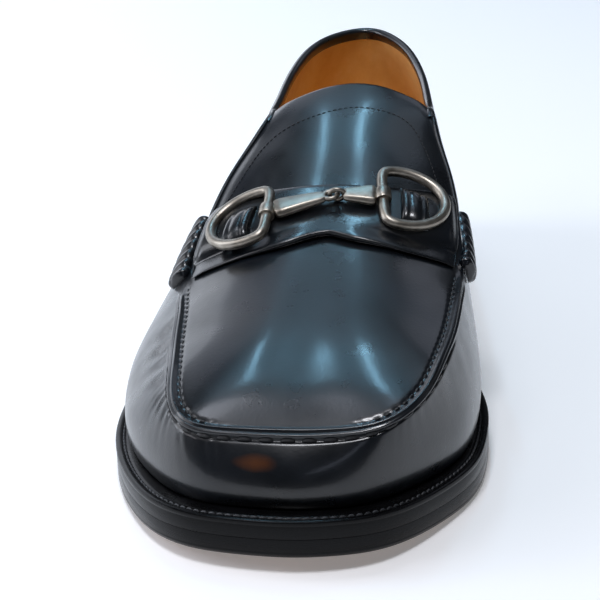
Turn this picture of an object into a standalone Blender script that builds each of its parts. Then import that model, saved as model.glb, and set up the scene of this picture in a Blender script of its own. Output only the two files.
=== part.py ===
"""Bit loafer, right shoe, as the sub-parts a shoemaker joins. Metres, +Z up, toe towards -Y."""

import math

import bmesh
import bpy
from mathutils import Matrix, Quaternion, Vector

# Overall sizes
LENGTH = 0.300  # outsole from toe tip to heel back
BALL_WIDTH = 0.1175  # outsole across the ball
UPPER_RISE = 0.057  # back of the upper above its seat
HEEL_HEIGHT = 0.0195  # stacked heel with its top piece
HEEL_LENGTH = 0.062
TOE_SPRING = 0.0052
# Layers and clearances
OUTSOLE_THICKNESS = 0.0060
WELT_THICKNESS = 0.0055
INSOLE_THICKNESS = 0.0030
TOP_PIECE_THICKNESS = 0.0060
WALL = 0.0022
CLEARANCE = 0.0003
INSOLE_PLAY = 0.0006
# Edges of the sole
WELT_REACH = 0.0085  # welt beyond the upper at the toe
WELT_BEAD = 0.0006
EDGE_GROOVE = 0.0005
HEEL_TAPER = 0.0020
BREAST_HOLLOW = 0.0035
# Upper and its trim
SEAM_RISE = 0.0014
BELLY = 0.0030
STRAP_THICKNESS = 0.0026
ROLL_WIDTH = 0.0080
ROLL_HEIGHT = 0.0038
ROLL_LENGTH = 0.0310
KEEPER_WIDTH = 0.0066
KEEPER_THICKNESS = 0.0022
KEEPER_LENGTH = 0.0122
# Bit
WIRE_RADIUS = 0.0016
RING_LENGTH = 0.0255
RING_WIDTH = 0.0210
BOW_TURN = 115  # degrees round the ring's bow from its tip to the bar
LINK_WIDTH = 0.0076
LINK_THICKNESS = 0.0032
LINK_NARROW = 0.0042
LINK_BEVEL = 0.0005
COLLAR_WALL = 0.0008
COLLAR_LENGTH = 0.0048
EYE_RADIUS = 0.0021
EYE_WIRE = 0.00075

# Curves of the last
BELLY_SKEW = 0.7  # below 1 the wall is fullest low down
CROWN_FRONT = 1.4  # exponent of the crown's section at the toe
CROWN_REAR = 2.0  # and behind
CROWN_ROWS = (1.0, 8.0)  # rows of RAIL between which the exponent grows
TONGUE_ARCH = 1.9  # exponent by which the tongue's end edge bows back
TONGUE_ARCH_ROWS = (9.4, 12.0)  # rows of RAIL between which the bow grows

# Sections from toe tip to heel back.
# along: share of LENGTH; lateral, medial: half widths as shares of BALL_WIDTH;
# reach: share of WELT_REACH that the welt stands out beyond the upper
SOLE = [
    # along, lateral, medial, reach
    (0.0000, 0.000, 0.000, 1.00),
    (0.0060, 0.140, 0.111, 1.00),
    (0.0210, 0.250, 0.204, 0.97),
    (0.0540, 0.347, 0.292, 0.90),
    (0.1067, 0.430, 0.376, 0.76),
    (0.1667, 0.492, 0.441, 0.62),
    (0.2333, 0.530, 0.464, 0.52),
    (0.3033, 0.538, 0.460, 0.48),
    (0.3733, 0.526, 0.423, 0.46),
    (0.4433, 0.490, 0.370, 0.46),
    (0.5100, 0.430, 0.315, 0.58),
    (0.5733, 0.379, 0.272, 0.58),
    (0.6367, 0.334, 0.255, 0.52),
    (0.7000, 0.305, 0.255, 0.46),
    (0.7667, 0.293, 0.271, 0.42),
    (0.8400, 0.284, 0.280, 0.40),
    (0.9067, 0.258, 0.256, 0.40),
    (0.9667, 0.180, 0.180, 0.40),
    (1.0000, 0.000, 0.000, 0.40),
]
# The upper's top rail, a row for each row of SOLE: apron seam, tongue side, topline.
# along: share of LENGTH; lateral, medial: shares of BALL_WIDTH;
# rise: shares of UPPER_RISE above the seat; belly: shares of BELLY; fullness: exponent of the wall
RAIL = [
    # along, lateral, medial, rise_lateral, rise_medial, belly_lateral, belly_medial, fullness
    (0.0550, 0.000, 0.000, 0.368, 0.368, 0.50, 0.50, 2.2),
    (0.0560, 0.115, 0.102, 0.371, 0.376, 0.50, 0.50, 2.2),
    (0.0600, 0.220, 0.204, 0.383, 0.404, 0.50, 0.50, 2.2),
    (0.0763, 0.277, 0.280, 0.420, 0.461, 0.50, 0.50, 2.2),
    (0.1100, 0.309, 0.330, 0.471, 0.532, 0.60, 0.60, 2.2),
    (0.1567, 0.326, 0.357, 0.524, 0.595, 0.70, 0.70, 2.1),
    (0.2167, 0.346, 0.378, 0.549, 0.635, 0.80, 0.80, 2.0),
    (0.2833, 0.365, 0.388, 0.577, 0.675, 1.20, 0.80, 2.0),
    (0.3500, 0.383, 0.391, 0.608, 0.714, 1.40, 1.30, 1.9),
    (0.4133, 0.353, 0.374, 0.778, 0.857, 1.30, 2.00, 1.7),
    (0.4733, 0.306, 0.345, 0.955, 0.999, 0.80, 2.50, 1.6),
    (0.5233, 0.249, 0.306, 1.070, 1.105, 0.70, 2.50, 1.6),
    (0.5700, 0.200, 0.281, 1.150, 1.165, 0.70, 2.20, 1.6),
    (0.6367, 0.226, 0.274, 0.985, 0.995, 0.70, 1.60, 1.6),
    (0.7133, 0.232, 0.255, 0.885, 0.895, 0.70, 1.10, 1.6),
    (0.7967, 0.225, 0.226, 0.881, 0.881, 0.80, 0.90, 1.6),
    (0.8733, 0.194, 0.176, 0.940, 0.940, 0.90, 0.90, 1.6),
    (0.9333, 0.120, 0.100, 0.986, 0.986, 1.00, 1.00, 1.7),
    (0.9633, 0.000, 0.000, 1.000, 1.000, 1.00, 1.00, 1.8),
]
# Crest of apron and tongue, for the rows of RAIL that they span.
# along: share of LENGTH; offset: share of BALL_WIDTH to medial; rise: share of UPPER_RISE
CREST = [
    # along, offset, rise
    (0.1400, 0.009, 0.602),
    (0.1433, 0.009, 0.608),
    (0.1533, 0.010, 0.628),
    (0.1700, 0.012, 0.661),
    (0.1933, 0.014, 0.697),
    (0.2233, 0.017, 0.738),
    (0.2667, 0.020, 0.794),
    (0.3167, 0.026, 0.865),
    (0.3700, 0.031, 0.951),
    (0.4233, 0.037, 1.050),
    (0.4800, 0.043, 1.165),
    (0.5367, 0.049, 1.232),
    (0.5967, 0.053, 1.265),
]
# Underside of the outsole. along: share of LENGTH; spring: share of TOE_SPRING;
# lift: share of HEEL_HEIGHT
PROFILE = [
    # along, spring, lift
    (0.0000, 1.00, 0.00),
    (0.0500, 0.60, 0.00),
    (0.1000, 0.30, 0.00),
    (0.1600, 0.08, 0.00),
    (0.2100, 0.00, 0.00),
    (0.3700, 0.00, 0.00),
    (0.4200, 0.00, 0.04),
    (0.4700, 0.00, 0.13),
    (0.5200, 0.00, 0.27),
    (0.5700, 0.00, 0.44),
    (0.6200, 0.00, 0.61),
    (0.6700, 0.00, 0.77),
    (0.7200, 0.00, 0.90),
    (0.7700, 0.00, 0.98),
    (0.8000, 0.00, 1.00),
    (1.0000, 0.00, 1.00),
]
# Saddle strap, from its lateral end (-1) to its medial end (1).
# across: share of the way to the strap's end; front, rear: rows of RAIL between which it lies
STRAP = [
    # across, front, rear
    (-1.00, 7.90, 9.30),
    (-0.66, 7.55, 9.22),
    (-0.33, 7.36, 9.05),
    (-0.03, 7.50, 8.98),
    (0.20, 7.42, 9.00),
    (0.57, 7.52, 9.18),
    (1.00, 7.85, 9.50),
]
# Ends of the strap's front and rear edges, as shares of the crown (1 is the rail)
STRAP_REACH = (0.935, 0.985)
# Raised apron seam. row: row of RAIL; share: of SEAM_RISE
SEAM = [
    # row, share
    (0.0, 1.00),
    (7.4, 1.00),
    (8.0, 0.00),
    (9.6, 0.00),
    (10.3, 0.50),
    (12.0, 0.55),
]
# Edges of the sole, from the bottom up.
# inset: share of EDGE_GROOVE; height: share of OUTSOLE_THICKNESS
OUTSOLE_EDGE = [
    # inset, height
    (3.0, 0.00),
    (1.0, 0.20),
    (0.0, 0.43),
    (1.0, 1.00),
]
# inset: share of WELT_BEAD; height: share of WELT_THICKNESS
WELT_EDGE = [
    # inset, height
    (0.8, 0.00),
    (0.0, 0.22),
    (0.0, 0.71),
    (1.0, 0.89),
    (3.0, 1.00),
]
# Rings and keepers: row of RAIL and share of the crown of the middle of each ring,
# and the lean of its bar towards the foot's middle at the heel end, in degrees
RINGS = {"lateral": (8.25, -0.60, 8), "medial": (8.60, 0.60, 14)}
# Whipped rolls at the strap's ends: row of RAIL, share of the crown, how much it turns out per row
ROLLS = {"lateral": (8.82, -1.10, -0.05), "medial": (8.78, 1.11, 0.06)}
# Cross-section of strap and keeper. share: of the width; lift: share of the thickness
BAND = [
    # share, lift
    (0.00, 0.0),
    (0.00, 0.6),
    (0.05, 0.9),
    (0.13, 1.0),
    (0.50, 1.0),
    (0.87, 1.0),
    (0.95, 0.9),
    (1.00, 0.6),
    (1.00, 0.0),
    (0.50, 0.0),
]
# Cross-section of a roll. share: of the width; lift: share of the height
ROLL = [
    # share, lift
    (0.00, 0.00),
    (0.02, 0.38),
    (0.12, 0.70),
    (0.30, 0.93),
    (0.50, 1.00),
    (0.70, 0.93),
    (0.88, 0.70),
    (0.98, 0.38),
    (1.00, 0.00),
    (0.65, 0.00),
    (0.35, 0.00),
]
# Rounding of a roll's or keeper's ends. share: of the length; size: share of width and height
ENDS = [
    # share, size
    (0.00, 0.50),
    (0.04, 0.80),
    (0.12, 0.97),
    (0.24, 1.00),
    (0.37, 1.00),
    (0.50, 1.00),
    (0.63, 1.00),
    (0.76, 1.00),
    (0.88, 0.97),
    (0.96, 0.80),
    (1.00, 0.50),
]
STEPS = 3  # facets between two sections
STRAP_STATIONS = 24
RING_POINTS = 22
BAR_POINTS = 7
WALL_ROWS = (0.0, 0.10, 0.24, 0.40, 0.56, 0.71, 0.84, 0.94, 1.0)
CREST_ROWS = (1.0, 0.95, 0.84, 0.64, 0.42, 0.20, 0.0)
BREAST_STEPS = 8
COLLAR_SIDES = 16
# Steps in rows and shares that measure directions and stretch of the skin
EDGE_STEP = 0.2
SKIN_STEP = 0.03
PAD_STEP = 0.05


def clear_scene():
    for item in list(bpy.data.objects):
        bpy.data.objects.remove(item, do_unlink=True)


def make_material(name, colour, roughness, metallic=0.0):
    material = bpy.data.materials.new(name)
    material.use_nodes = True
    shader = material.node_tree.nodes["Principled BSDF"]
    shader.inputs["Base Color"].default_value = (*colour, 1.0)
    shader.inputs["Roughness"].default_value = roughness
    shader.inputs["Metallic"].default_value = metallic
    material.diffuse_color = (*colour, 1.0)
    return material


def curve_through(rows, place, column):
    """Smooth value of a table's column at a place along it, without overshoot."""
    last = len(rows) - 1
    index = 0
    while index < last - 1 and rows[index + 1][0] < place:
        index += 1

    def slope(at):
        return (rows[at + 1][column] - rows[at][column]) / (rows[at + 1][0] - rows[at][0])

    def tangent(at):
        if at == 0:
            return slope(0)
        if at == last:
            return slope(last - 1)
        before, after = slope(at - 1), slope(at)
        if before * after <= 0:
            return 0.0
        return 2 * before * after / (before + after)

    width = rows[index + 1][0] - rows[index][0]
    t = min(max((place - rows[index][0]) / width, 0.0), 1.0)
    start, end = rows[index][column], rows[index + 1][column]
    return (
        start * (1 + 2 * t) * (1 - t) ** 2
        + end * t * t * (3 - 2 * t)
        + width * tangent(index) * t * (1 - t) ** 2
        - width * tangent(index + 1) * t * t * (1 - t)
    )


def smooth_step(low, high, value):
    t = min(max((value - low) / (high - low), 0.0), 1.0)
    return t * t * (3 - 2 * t)


def around(lateral_rows, medial_rows, place):
    """Catmull-Rom value on the closed round: lateral rows toe to heel, then medial rows back."""
    ring = lateral_rows + medial_rows[-2:0:-1]
    count = len(ring)
    index = math.floor(place)
    t = place - index
    a, b, c, d = (ring[(index + step) % count] for step in (-1, 0, 1, 2))
    return 0.5 * (2 * b + (c - a) * t + (2 * a - 5 * b + 4 * c - d) * t * t + (3 * b - a - 3 * c + d) * t**3)


def column(rows, index, scale=1.0):
    return [row[index] * scale for row in rows]


def round_value(rows, lateral, medial, place, scale=1.0, sign=1.0):
    return around(column(rows, lateral, scale * sign), column(rows, medial, scale), place)


def underside(along):
    share = along / LENGTH
    return TOE_SPRING * curve_through(PROFILE, share, 1) + HEEL_HEIGHT * curve_through(PROFILE, share, 2)


def seat(along):
    """Top of the welt, where the upper and the insole stand."""
    return underside(along) + OUTSOLE_THICKNESS + CLEARANCE + WELT_THICKNESS


def outline(place):
    """Sole edge in plan: x to medial, y from the toe tip."""
    x = round_value(SOLE, 1, 2, place, BALL_WIDTH, -1.0)
    y = round_value(SOLE, 0, 0, place, LENGTH)
    return Vector((x, y, 0.0))


def outward(place):
    ahead = outline(place + EDGE_STEP) - outline(place - EDGE_STEP)
    return Vector((-ahead.y, ahead.x, 0.0)).normalized()


def feather(place):
    """Foot of the upper, in from the sole edge by the welt's reach."""
    reach = round_value(SOLE, 3, 3, place, WELT_REACH)
    point = outline(place) - outward(place) * reach
    point.z = seat(point.y) + CLEARANCE
    return point


def rail(place):
    x = round_value(RAIL, 1, 2, place, BALL_WIDTH, -1.0)
    y = round_value(RAIL, 0, 0, place, LENGTH)
    rise = round_value(RAIL, 3, 4, place, UPPER_RISE)
    return Vector((x, y, seat(y) + rise))


def crest(section):
    rows = [(number, *row) for number, row in enumerate(CREST)]
    along = curve_through(rows, section, 1) * LENGTH
    x = curve_through(rows, section, 2) * BALL_WIDTH
    return Vector((x, along, seat(along) + curve_through(rows, section, 3) * UPPER_RISE))


def wall_point(place, height):
    """Outer face of the wall, from feather at height 0 to rail at height 1."""
    foot, top = feather(place), rail(place)
    belly = round_value(RAIL, 5, 6, place, BELLY)
    fullness = round_value(RAIL, 7, 7, place)
    point = foot.lerp(top, height**fullness)
    point += outward(place) * belly * math.sin(math.pi * height**BELLY_SKEW)
    point.z = foot.z + (top.z - foot.z) * height
    return point


def crown_point(place, share):
    """Outer face of apron and tongue, from the crest at share 0 to the rail at share 1."""
    sections = 2 * (len(RAIL) - 1)
    section = min(place % sections, -place % sections)
    top, middle = rail(place), crest(section)
    roundness = CROWN_FRONT + (CROWN_REAR - CROWN_FRONT) * smooth_step(*CROWN_ROWS, section)
    arch = 1 + (TONGUE_ARCH - 1) * smooth_step(*TONGUE_ARCH_ROWS, section)
    point = middle.lerp(top, share)
    point.y = middle.y + (top.y - middle.y) * share**arch
    point.z = top.z + (middle.z - top.z) * (1 - share**roundness)
    return point


def to_world(point):
    return Vector((point.x, point.y - LENGTH + HEEL_LENGTH / 2, point.z))


def places():
    """Every facet's place on the closed round."""
    count = 2 * (len(SOLE) - 1) * STEPS
    return [step / STEPS for step in range(count)]


def seam_share(section):
    """Height of the raised seam: full on the apron, low under the strap, lower at the tongue's side."""
    if section > len(CREST) - 1:
        return 0.0
    return curve_through(SEAM, section, 1)


def skin_point(section, across):
    """Outer face of the upper: crown between -1 and 1, wall beyond."""
    place = section if across < 0 else -section
    if abs(across) <= 1:
        return crown_point(place, abs(across))
    return wall_point(place, 2 - abs(across))


def skin_frame(section, across):
    """Point on the skin, with the directions to medial, to the heel and outwards."""
    point = skin_point(section, across)
    sideways = skin_point(section, across + SKIN_STEP) - skin_point(section, across - SKIN_STEP)
    lengthways = skin_point(section + SKIN_STEP, across) - skin_point(section - SKIN_STEP, across)
    up = sideways.cross(lengthways).normalized()
    lengthways = (lengthways - up * lengthways.dot(up)).normalized()
    return point, lengthways.cross(up), lengthways, up


def lifted(section, across, lift):
    point, _, _, up = skin_frame(section, across)
    return point + up * lift


def skin_stretch(section, across):
    """Length of skin in one whole share across the foot."""
    near, far = skin_point(section, across - PAD_STEP), skin_point(section, across + PAD_STEP)
    return (far - near).length / (2 * PAD_STEP)


def finish_mesh(name, mesh_data, material, collection):
    bmesh.ops.recalc_face_normals(mesh_data, faces=mesh_data.faces)
    mesh = bpy.data.meshes.new(name)
    mesh_data.to_mesh(mesh)
    mesh_data.free()
    item = bpy.data.objects.new(name, mesh)
    item.data.materials.append(material)
    collection.objects.link(item)
    return item


def make_upper(collection, material):
    """Wall and crown as one skin, given its thickness inwards."""
    skin = bmesh.new()
    rounds = places()
    count = len(rounds)
    last = (len(CREST) - 1) * STEPS
    columns = []
    for index, place in enumerate(rounds):
        points = [wall_point(place, height) for height in WALL_ROWS]
        section = min(index, count - index) / STEPS
        if section <= len(CREST) - 1:
            inner = crown_point(place, CREST_ROWS[1])
            up = (points[-2] - points[-1]).normalized() + (inner - points[-1]).normalized()
            points[-1] -= up.normalized() * SEAM_RISE * seam_share(section)
        columns.append([skin.verts.new(to_world(point)) for point in points])
    for index in range(count):
        here, following = columns[index], columns[(index + 1) % count]
        for row in range(len(WALL_ROWS) - 1):
            skin.faces.new((here[row], here[row + 1], following[row + 1], following[row]))
    middles = [skin.verts.new(to_world(crest(step / STEPS))) for step in range(last + 1)]
    fans = {}
    for index in range(-last, last + 1):
        place = rounds[index % count]
        inner = [skin.verts.new(to_world(crown_point(place, share))) for share in CREST_ROWS[1:-1]]
        fans[index] = [columns[index % count][-1], *inner, middles[abs(index)]]
    for index in range(-last, last):
        here, following = fans[index], fans[index + 1]
        for row in range(len(CREST_ROWS) - 1):
            skin.faces.new((here[row], here[row + 1], following[row + 1], following[row]))
    item = finish_mesh("upper", skin, material, collection)
    thickness = item.modifiers.new("thickness", "SOLIDIFY")
    thickness.thickness = WALL
    thickness.offset = -1.0
    thickness.use_even_offset = True
    return item


def make_plate(name, loops, collection, material):
    """A plate from its edge loops, bottom to top, capped across from side to side."""
    plate = bmesh.new()
    rings = [[plate.verts.new(to_world(point)) for point in loop] for loop in loops]
    count = len(rings[0])
    for lower, upper in zip(rings, rings[1:]):
        for index in range(count):
            following = (index + 1) % count
            plate.faces.new((lower[index], lower[following], upper[following], upper[index]))
    for ring in (rings[0], rings[-1]):
        for index in range(count // 2):
            corners = [ring[index], ring[index + 1], ring[-index - 1], ring[-index % count]]
            plate.faces.new(list(dict.fromkeys(corners)))
    return finish_mesh(name, plate, material, collection)


def edge_loop(inset, height):
    """The sole outline set in by a distance, at a height above the underside."""
    loop = []
    for place in places():
        point = outline(place) - outward(place) * inset
        point.z = underside(point.y) + height
        loop.append(point)
    return loop


def make_outsole(collection, material):
    loops = [edge_loop(EDGE_GROOVE * inset, OUTSOLE_THICKNESS * height) for inset, height in OUTSOLE_EDGE]
    return make_plate("outsole", loops, collection, material)


def make_welt(collection, material):
    base = OUTSOLE_THICKNESS + CLEARANCE
    loops = [edge_loop(WELT_BEAD * inset, base + WELT_THICKNESS * height) for inset, height in WELT_EDGE]
    return make_plate("welt", loops, collection, material)


def make_insole(collection, material):
    loops = []
    for height in (CLEARANCE, CLEARANCE + INSOLE_THICKNESS):
        loop = []
        for place in places():
            point = feather(place) - outward(place) * (WALL + INSOLE_PLAY)
            point.z = seat(point.y) + height
            loop.append(point)
        loops.append(loop)
    return make_plate("insole", loops, collection, material)


def heel_loop(inset, height):
    """Plan of the heel at a height: the sole's back with a hollow breast."""
    back = [place for place in places() if outline(place).y >= LENGTH - HEEL_LENGTH]
    points = [outline(place) - outward(place) * inset for place in back]
    front = LENGTH - HEEL_LENGTH
    lateral, medial = points[0], points[-1]
    for step in range(1, BREAST_STEPS):
        share = step / BREAST_STEPS
        point = medial.lerp(lateral, share)
        point.y = front + BREAST_HOLLOW * math.sin(math.pi * share)
        points.append(point)
    lateral.y = front
    medial.y = front
    for point in points:
        point.z = height
    return points


def make_heel_part(name, bottom, top, collection, material):
    """A lift of the heel between two heights, narrower towards the floor."""
    lift = bmesh.new()
    rings = []
    for height in (bottom, top):
        inset = EDGE_GROOVE + HEEL_TAPER * (1 - height / HEEL_HEIGHT)
        rings.append([lift.verts.new(to_world(point)) for point in heel_loop(inset, height)])
    lower, upper = rings
    count = len(lower)
    for index in range(count):
        following = (index + 1) % count
        lift.faces.new((lower[index], lower[following], upper[following], upper[index]))
    lift.faces.new(lower)
    lift.faces.new(upper)
    return finish_mesh(name, lift, material, collection)


def make_strip(name, loops, collection, material):
    """A closed band from its cross-sections, with flat ends."""
    strip = bmesh.new()
    rings = [[strip.verts.new(to_world(point)) for point in loop] for loop in loops]
    count = len(rings[0])
    for here, following in zip(rings, rings[1:]):
        for index in range(count):
            other = (index + 1) % count
            strip.faces.new((here[index], here[other], following[other], following[index]))
    strip.faces.new(rings[0])
    strip.faces.new(rings[-1])
    return finish_mesh(name, strip, material, collection)


def make_strap(collection, material):
    """Saddle strap over the crown, at one clearance from the upper's outer face."""
    loops = []
    reach_front, reach_rear = STRAP_REACH
    for station in range(STRAP_STATIONS + 1):
        place = 2 * station / STRAP_STATIONS - 1
        front, rear = curve_through(STRAP, place, 1), curve_through(STRAP, place, 2)
        loop = []
        for share, lift in BAND:
            section = front + (rear - front) * share
            across = place * (reach_front + (reach_rear - reach_front) * share)
            loop.append(lifted(section, across, CLEARANCE + STRAP_THICKNESS * lift))
        loops.append(loop)
    return make_strip("saddle_strap", loops, collection, material)


def pad_loops(middle, base, length, width, height, outline_rows):
    """Cross-sections of a small pad that follows the skin, along the foot."""
    section, across, turn = middle
    near, far = skin_point(section - PAD_STEP, across), skin_point(section + PAD_STEP, across)
    pace = (far - near).length / (2 * PAD_STEP)
    loops = []
    for share, size in ENDS:
        row = section + (share - 0.5) * length / pace
        centre = across + turn * (row - section)
        stretch = skin_stretch(row, centre)
        loop = []
        for side, lift in outline_rows:
            place = centre + (side - 0.5) * size * width / stretch
            loop.append(lifted(row, place, base + height * size * lift))
        loops.append(loop)
    return loops


def make_rolls(collection, material):
    """Whipped roll at each end of the strap, low on the wall beside it."""
    for side, middle in ROLLS.items():
        loops = pad_loops(middle, CLEARANCE, ROLL_LENGTH, ROLL_WIDTH, ROLL_HEIGHT, ROLL)
        make_strip(f"beefroll_{side}", loops, collection, material)


def make_keepers(collection, material):
    """Leather keeper inside each ring, on the strap."""
    base = STRAP_THICKNESS + 2 * CLEARANCE
    for side, (section, across, _) in RINGS.items():
        loops = pad_loops((section, across, 0.0), base, KEEPER_LENGTH, KEEPER_WIDTH, KEEPER_THICKNESS, BAND)
        make_strip(f"keeper_{side}", loops, collection, material)


def ring_place(side):
    """World matrix of a ring: x to medial, y to the heel, z up from the strap."""
    section, across, lean = RINGS[side]
    outwards = math.copysign(1, across)
    _, _, _, up = skin_frame(section, across)
    sideways = Vector((0.0, 1.0, 0.0)).cross(up).normalized()
    sideways.rotate(Quaternion(up, math.radians(lean) * outwards))
    lengthways = up.cross(sideways)
    bar_across = across - outwards * RING_WIDTH / 2 / skin_stretch(section, across)
    lift = STRAP_THICKNESS + 2 * CLEARANCE + WIRE_RADIUS + CLEARANCE + COLLAR_WALL
    bar = lifted(section, bar_across, lift)
    origin = to_world(bar + sideways * outwards * RING_WIDTH / 2)
    return axes_matrix(sideways, lengthways, up, origin)


def axes_matrix(x_axis, y_axis, z_axis, origin):
    matrix = Matrix.Identity(4)
    for index, axis in enumerate((x_axis, y_axis, z_axis, origin)):
        matrix.col[index][:3] = axis
    return matrix


def make_rings(collection, material):
    """Closed D ring: a straight bar towards the middle and a deep bow outwards."""
    turn = math.radians(BOW_TURN)
    bow_reach = RING_WIDTH / (1 - math.cos(turn))
    bar_length = RING_LENGTH * math.sin(turn)
    for side, (_, across, _) in RINGS.items():
        outwards = math.copysign(1, across)
        points = []
        for step in range(RING_POINTS + 1):
            angle = turn * (2 * step / RING_POINTS - 1)
            x = RING_WIDTH / 2 - bow_reach * (1 - math.cos(angle))
            points.append((outwards * x, RING_LENGTH / 2 * math.sin(angle)))
        for step in range(1, BAR_POINTS):
            share = step / BAR_POINTS
            points.append((-outwards * RING_WIDTH / 2, bar_length * (0.5 - share)))
        wire = bpy.data.curves.new(f"bit_ring_{side}", "CURVE")
        wire.dimensions = "3D"
        wire.bevel_depth = WIRE_RADIUS
        wire.bevel_resolution = 2
        spline = wire.splines.new("POLY")
        spline.points.add(len(points) - 1)
        for target, (x, y) in zip(spline.points, points):
            target.co = (x, y, 0.0, 1.0)
        spline.use_cyclic_u = True
        item = bpy.data.objects.new(f"bit_ring_{side}", wire)
        item.data.materials.append(material)
        item.matrix_world = ring_place(side)
        collection.objects.link(item)


def joint_point():
    """Where the two links hook into each other, above the strap's middle."""
    lateral, medial = RINGS["lateral"], RINGS["medial"]
    section = (lateral[0] + medial[0]) / 2
    across = (lateral[1] + medial[1]) / 2
    point, _, _, up = skin_frame(section, across)
    return to_world(point + up * (STRAP_THICKNESS + 2 * CLEARANCE + EYE_RADIUS + EYE_WIRE)), up


def boolean(item, other, operation):
    cut = item.modifiers.new(operation.lower(), "BOOLEAN")
    cut.operation = operation
    cut.solver = "EXACT"
    cut.object = other


def link_part(name, mesh_data, matrix, collection):
    mesh = bpy.data.meshes.new(name)
    mesh_data.to_mesh(mesh)
    mesh_data.free()
    item = bpy.data.objects.new(name, mesh)
    item.matrix_world = matrix
    item.display_type = "WIRE"
    item.hide_render = True
    collection.objects.link(item)
    return item


def make_links(collection, cutters, material):
    """Two tapered links, each with a collar round its ring's bar and an eye at the joint."""
    centre, centre_up = joint_point()
    for side, (_, across, _) in RINGS.items():
        outwards = math.copysign(1, across)
        ring = ring_place(side)
        bar = ring @ Vector((-outwards * RING_WIDTH / 2, 0.0, 0.0))
        forward = (centre - bar).normalized()
        along = ring.col[1].xyz
        along = (along - forward * along.dot(forward)).normalized()
        if forward.cross(along).dot(centre_up) < 0:
            along = -along
        place = axes_matrix(forward, along, forward.cross(along), bar)
        length = (centre - bar).length
        eye_middle = length - EYE_RADIUS / 2
        start = WIRE_RADIUS + CLEARANCE + COLLAR_WALL / 2
        end = eye_middle - EYE_RADIUS
        body = bmesh.new()
        bmesh.ops.create_cube(body, size=1.0)
        for vertex in body.verts:
            far = vertex.co.x > 0
            vertex.co.x = end if far else start
            vertex.co.y *= LINK_NARROW if far else LINK_WIDTH
            vertex.co.z *= 2 * EYE_WIRE if far else LINK_THICKNESS
        mesh = bpy.data.meshes.new(f"bit_link_{side}")
        bmesh.ops.bevel(body, geom=body.edges, offset=LINK_BEVEL, segments=1, affect="EDGES")
        body.to_mesh(mesh)
        body.free()
        item = bpy.data.objects.new(f"bit_link_{side}", mesh)
        item.data.materials.append(material)
        item.matrix_world = place
        collection.objects.link(item)
        across_bar = place @ bar_turn(place, ring)
        for kind, radius, depth, operation in (
            ("collar", WIRE_RADIUS + CLEARANCE + COLLAR_WALL, COLLAR_LENGTH, "UNION"),
            ("bore", WIRE_RADIUS + CLEARANCE, 2 * COLLAR_LENGTH, "DIFFERENCE"),
        ):
            tube = bmesh.new()
            bmesh.ops.create_cone(
                tube, cap_ends=True, segments=COLLAR_SIDES, radius1=radius, radius2=radius, depth=depth
            )
            boolean(item, link_part(f"{kind}_{side}", tube, across_bar, cutters), operation)
        eye = make_eye(side, eye_middle, place, cutters)
        boolean(item, eye, "UNION")


def bar_turn(place, ring):
    """Turns a cylinder's axis onto the ring's bar, seen from the link."""
    axis = place.to_3x3().inverted() @ ring.col[1].xyz
    return Vector((0, 0, 1)).rotation_difference(axis).to_matrix().to_4x4()


def make_eye(side, middle, place, cutters):
    """Eye at a link's end: flat on the lateral link, upright on the medial one."""
    turn = Matrix.Identity(4) if side == "lateral" else Matrix.Rotation(math.pi / 2, 4, "X")
    matrix = place @ Matrix.Translation((middle, 0.0, 0.0)) @ turn
    bpy.ops.mesh.primitive_torus_add(
        major_segments=16, minor_segments=8, major_radius=EYE_RADIUS, minor_radius=EYE_WIRE
    )
    eye = bpy.context.object
    eye.name = f"eye_{side}"
    eye.matrix_world = matrix
    eye.display_type = "WIRE"
    eye.hide_render = True
    for holder in list(eye.users_collection):
        holder.objects.unlink(eye)
    cutters.objects.link(eye)
    return eye


def build():
    clear_scene()
    loafer = bpy.data.collections.new("bit_loafer")
    bpy.context.scene.collection.children.link(loafer)
    cutters = bpy.data.collections.new("cutters")
    bpy.context.scene.collection.children.link(cutters)
    calf = make_material("black_calf", (0.012, 0.014, 0.018), 0.28)
    edge = make_material("sole_edge", (0.014, 0.012, 0.011), 0.45)
    nickel = make_material("polished_nickel", (0.62, 0.60, 0.56), 0.22, 1.0)
    tan = make_material("tan_lining", (0.38, 0.17, 0.045), 0.6)
    rubber = make_material("top_piece_rubber", (0.02, 0.02, 0.02), 0.8)
    make_outsole(loafer, edge)
    make_welt(loafer, edge)
    make_heel_part("heel_stack", TOP_PIECE_THICKNESS + CLEARANCE, HEEL_HEIGHT - CLEARANCE, loafer, edge)
    make_heel_part("heel_top_piece", 0.0, TOP_PIECE_THICKNESS, loafer, rubber)
    make_insole(loafer, tan)
    make_upper(loafer, calf)
    make_strap(loafer, calf)
    make_rolls(loafer, calf)
    make_keepers(loafer, calf)
    make_rings(loafer, nickel)
    make_links(loafer, cutters, nickel)


build()
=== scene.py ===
import math

import bmesh
import bpy
import numpy as np
from mathutils import Matrix, Vector


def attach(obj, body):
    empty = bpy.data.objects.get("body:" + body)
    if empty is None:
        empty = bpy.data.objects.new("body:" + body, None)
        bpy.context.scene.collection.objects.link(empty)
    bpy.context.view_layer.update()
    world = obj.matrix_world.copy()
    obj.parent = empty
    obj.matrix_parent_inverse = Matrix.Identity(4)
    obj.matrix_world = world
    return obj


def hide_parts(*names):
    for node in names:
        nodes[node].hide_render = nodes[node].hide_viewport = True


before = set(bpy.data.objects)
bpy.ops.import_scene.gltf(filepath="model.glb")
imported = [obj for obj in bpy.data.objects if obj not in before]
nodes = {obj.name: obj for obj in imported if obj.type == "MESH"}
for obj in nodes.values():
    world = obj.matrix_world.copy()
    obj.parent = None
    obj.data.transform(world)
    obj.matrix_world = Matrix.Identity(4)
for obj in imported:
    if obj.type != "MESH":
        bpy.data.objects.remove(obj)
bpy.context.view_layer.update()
bpy.ops.object.select_all(action="DESELECT")
print("frame loaded")


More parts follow.
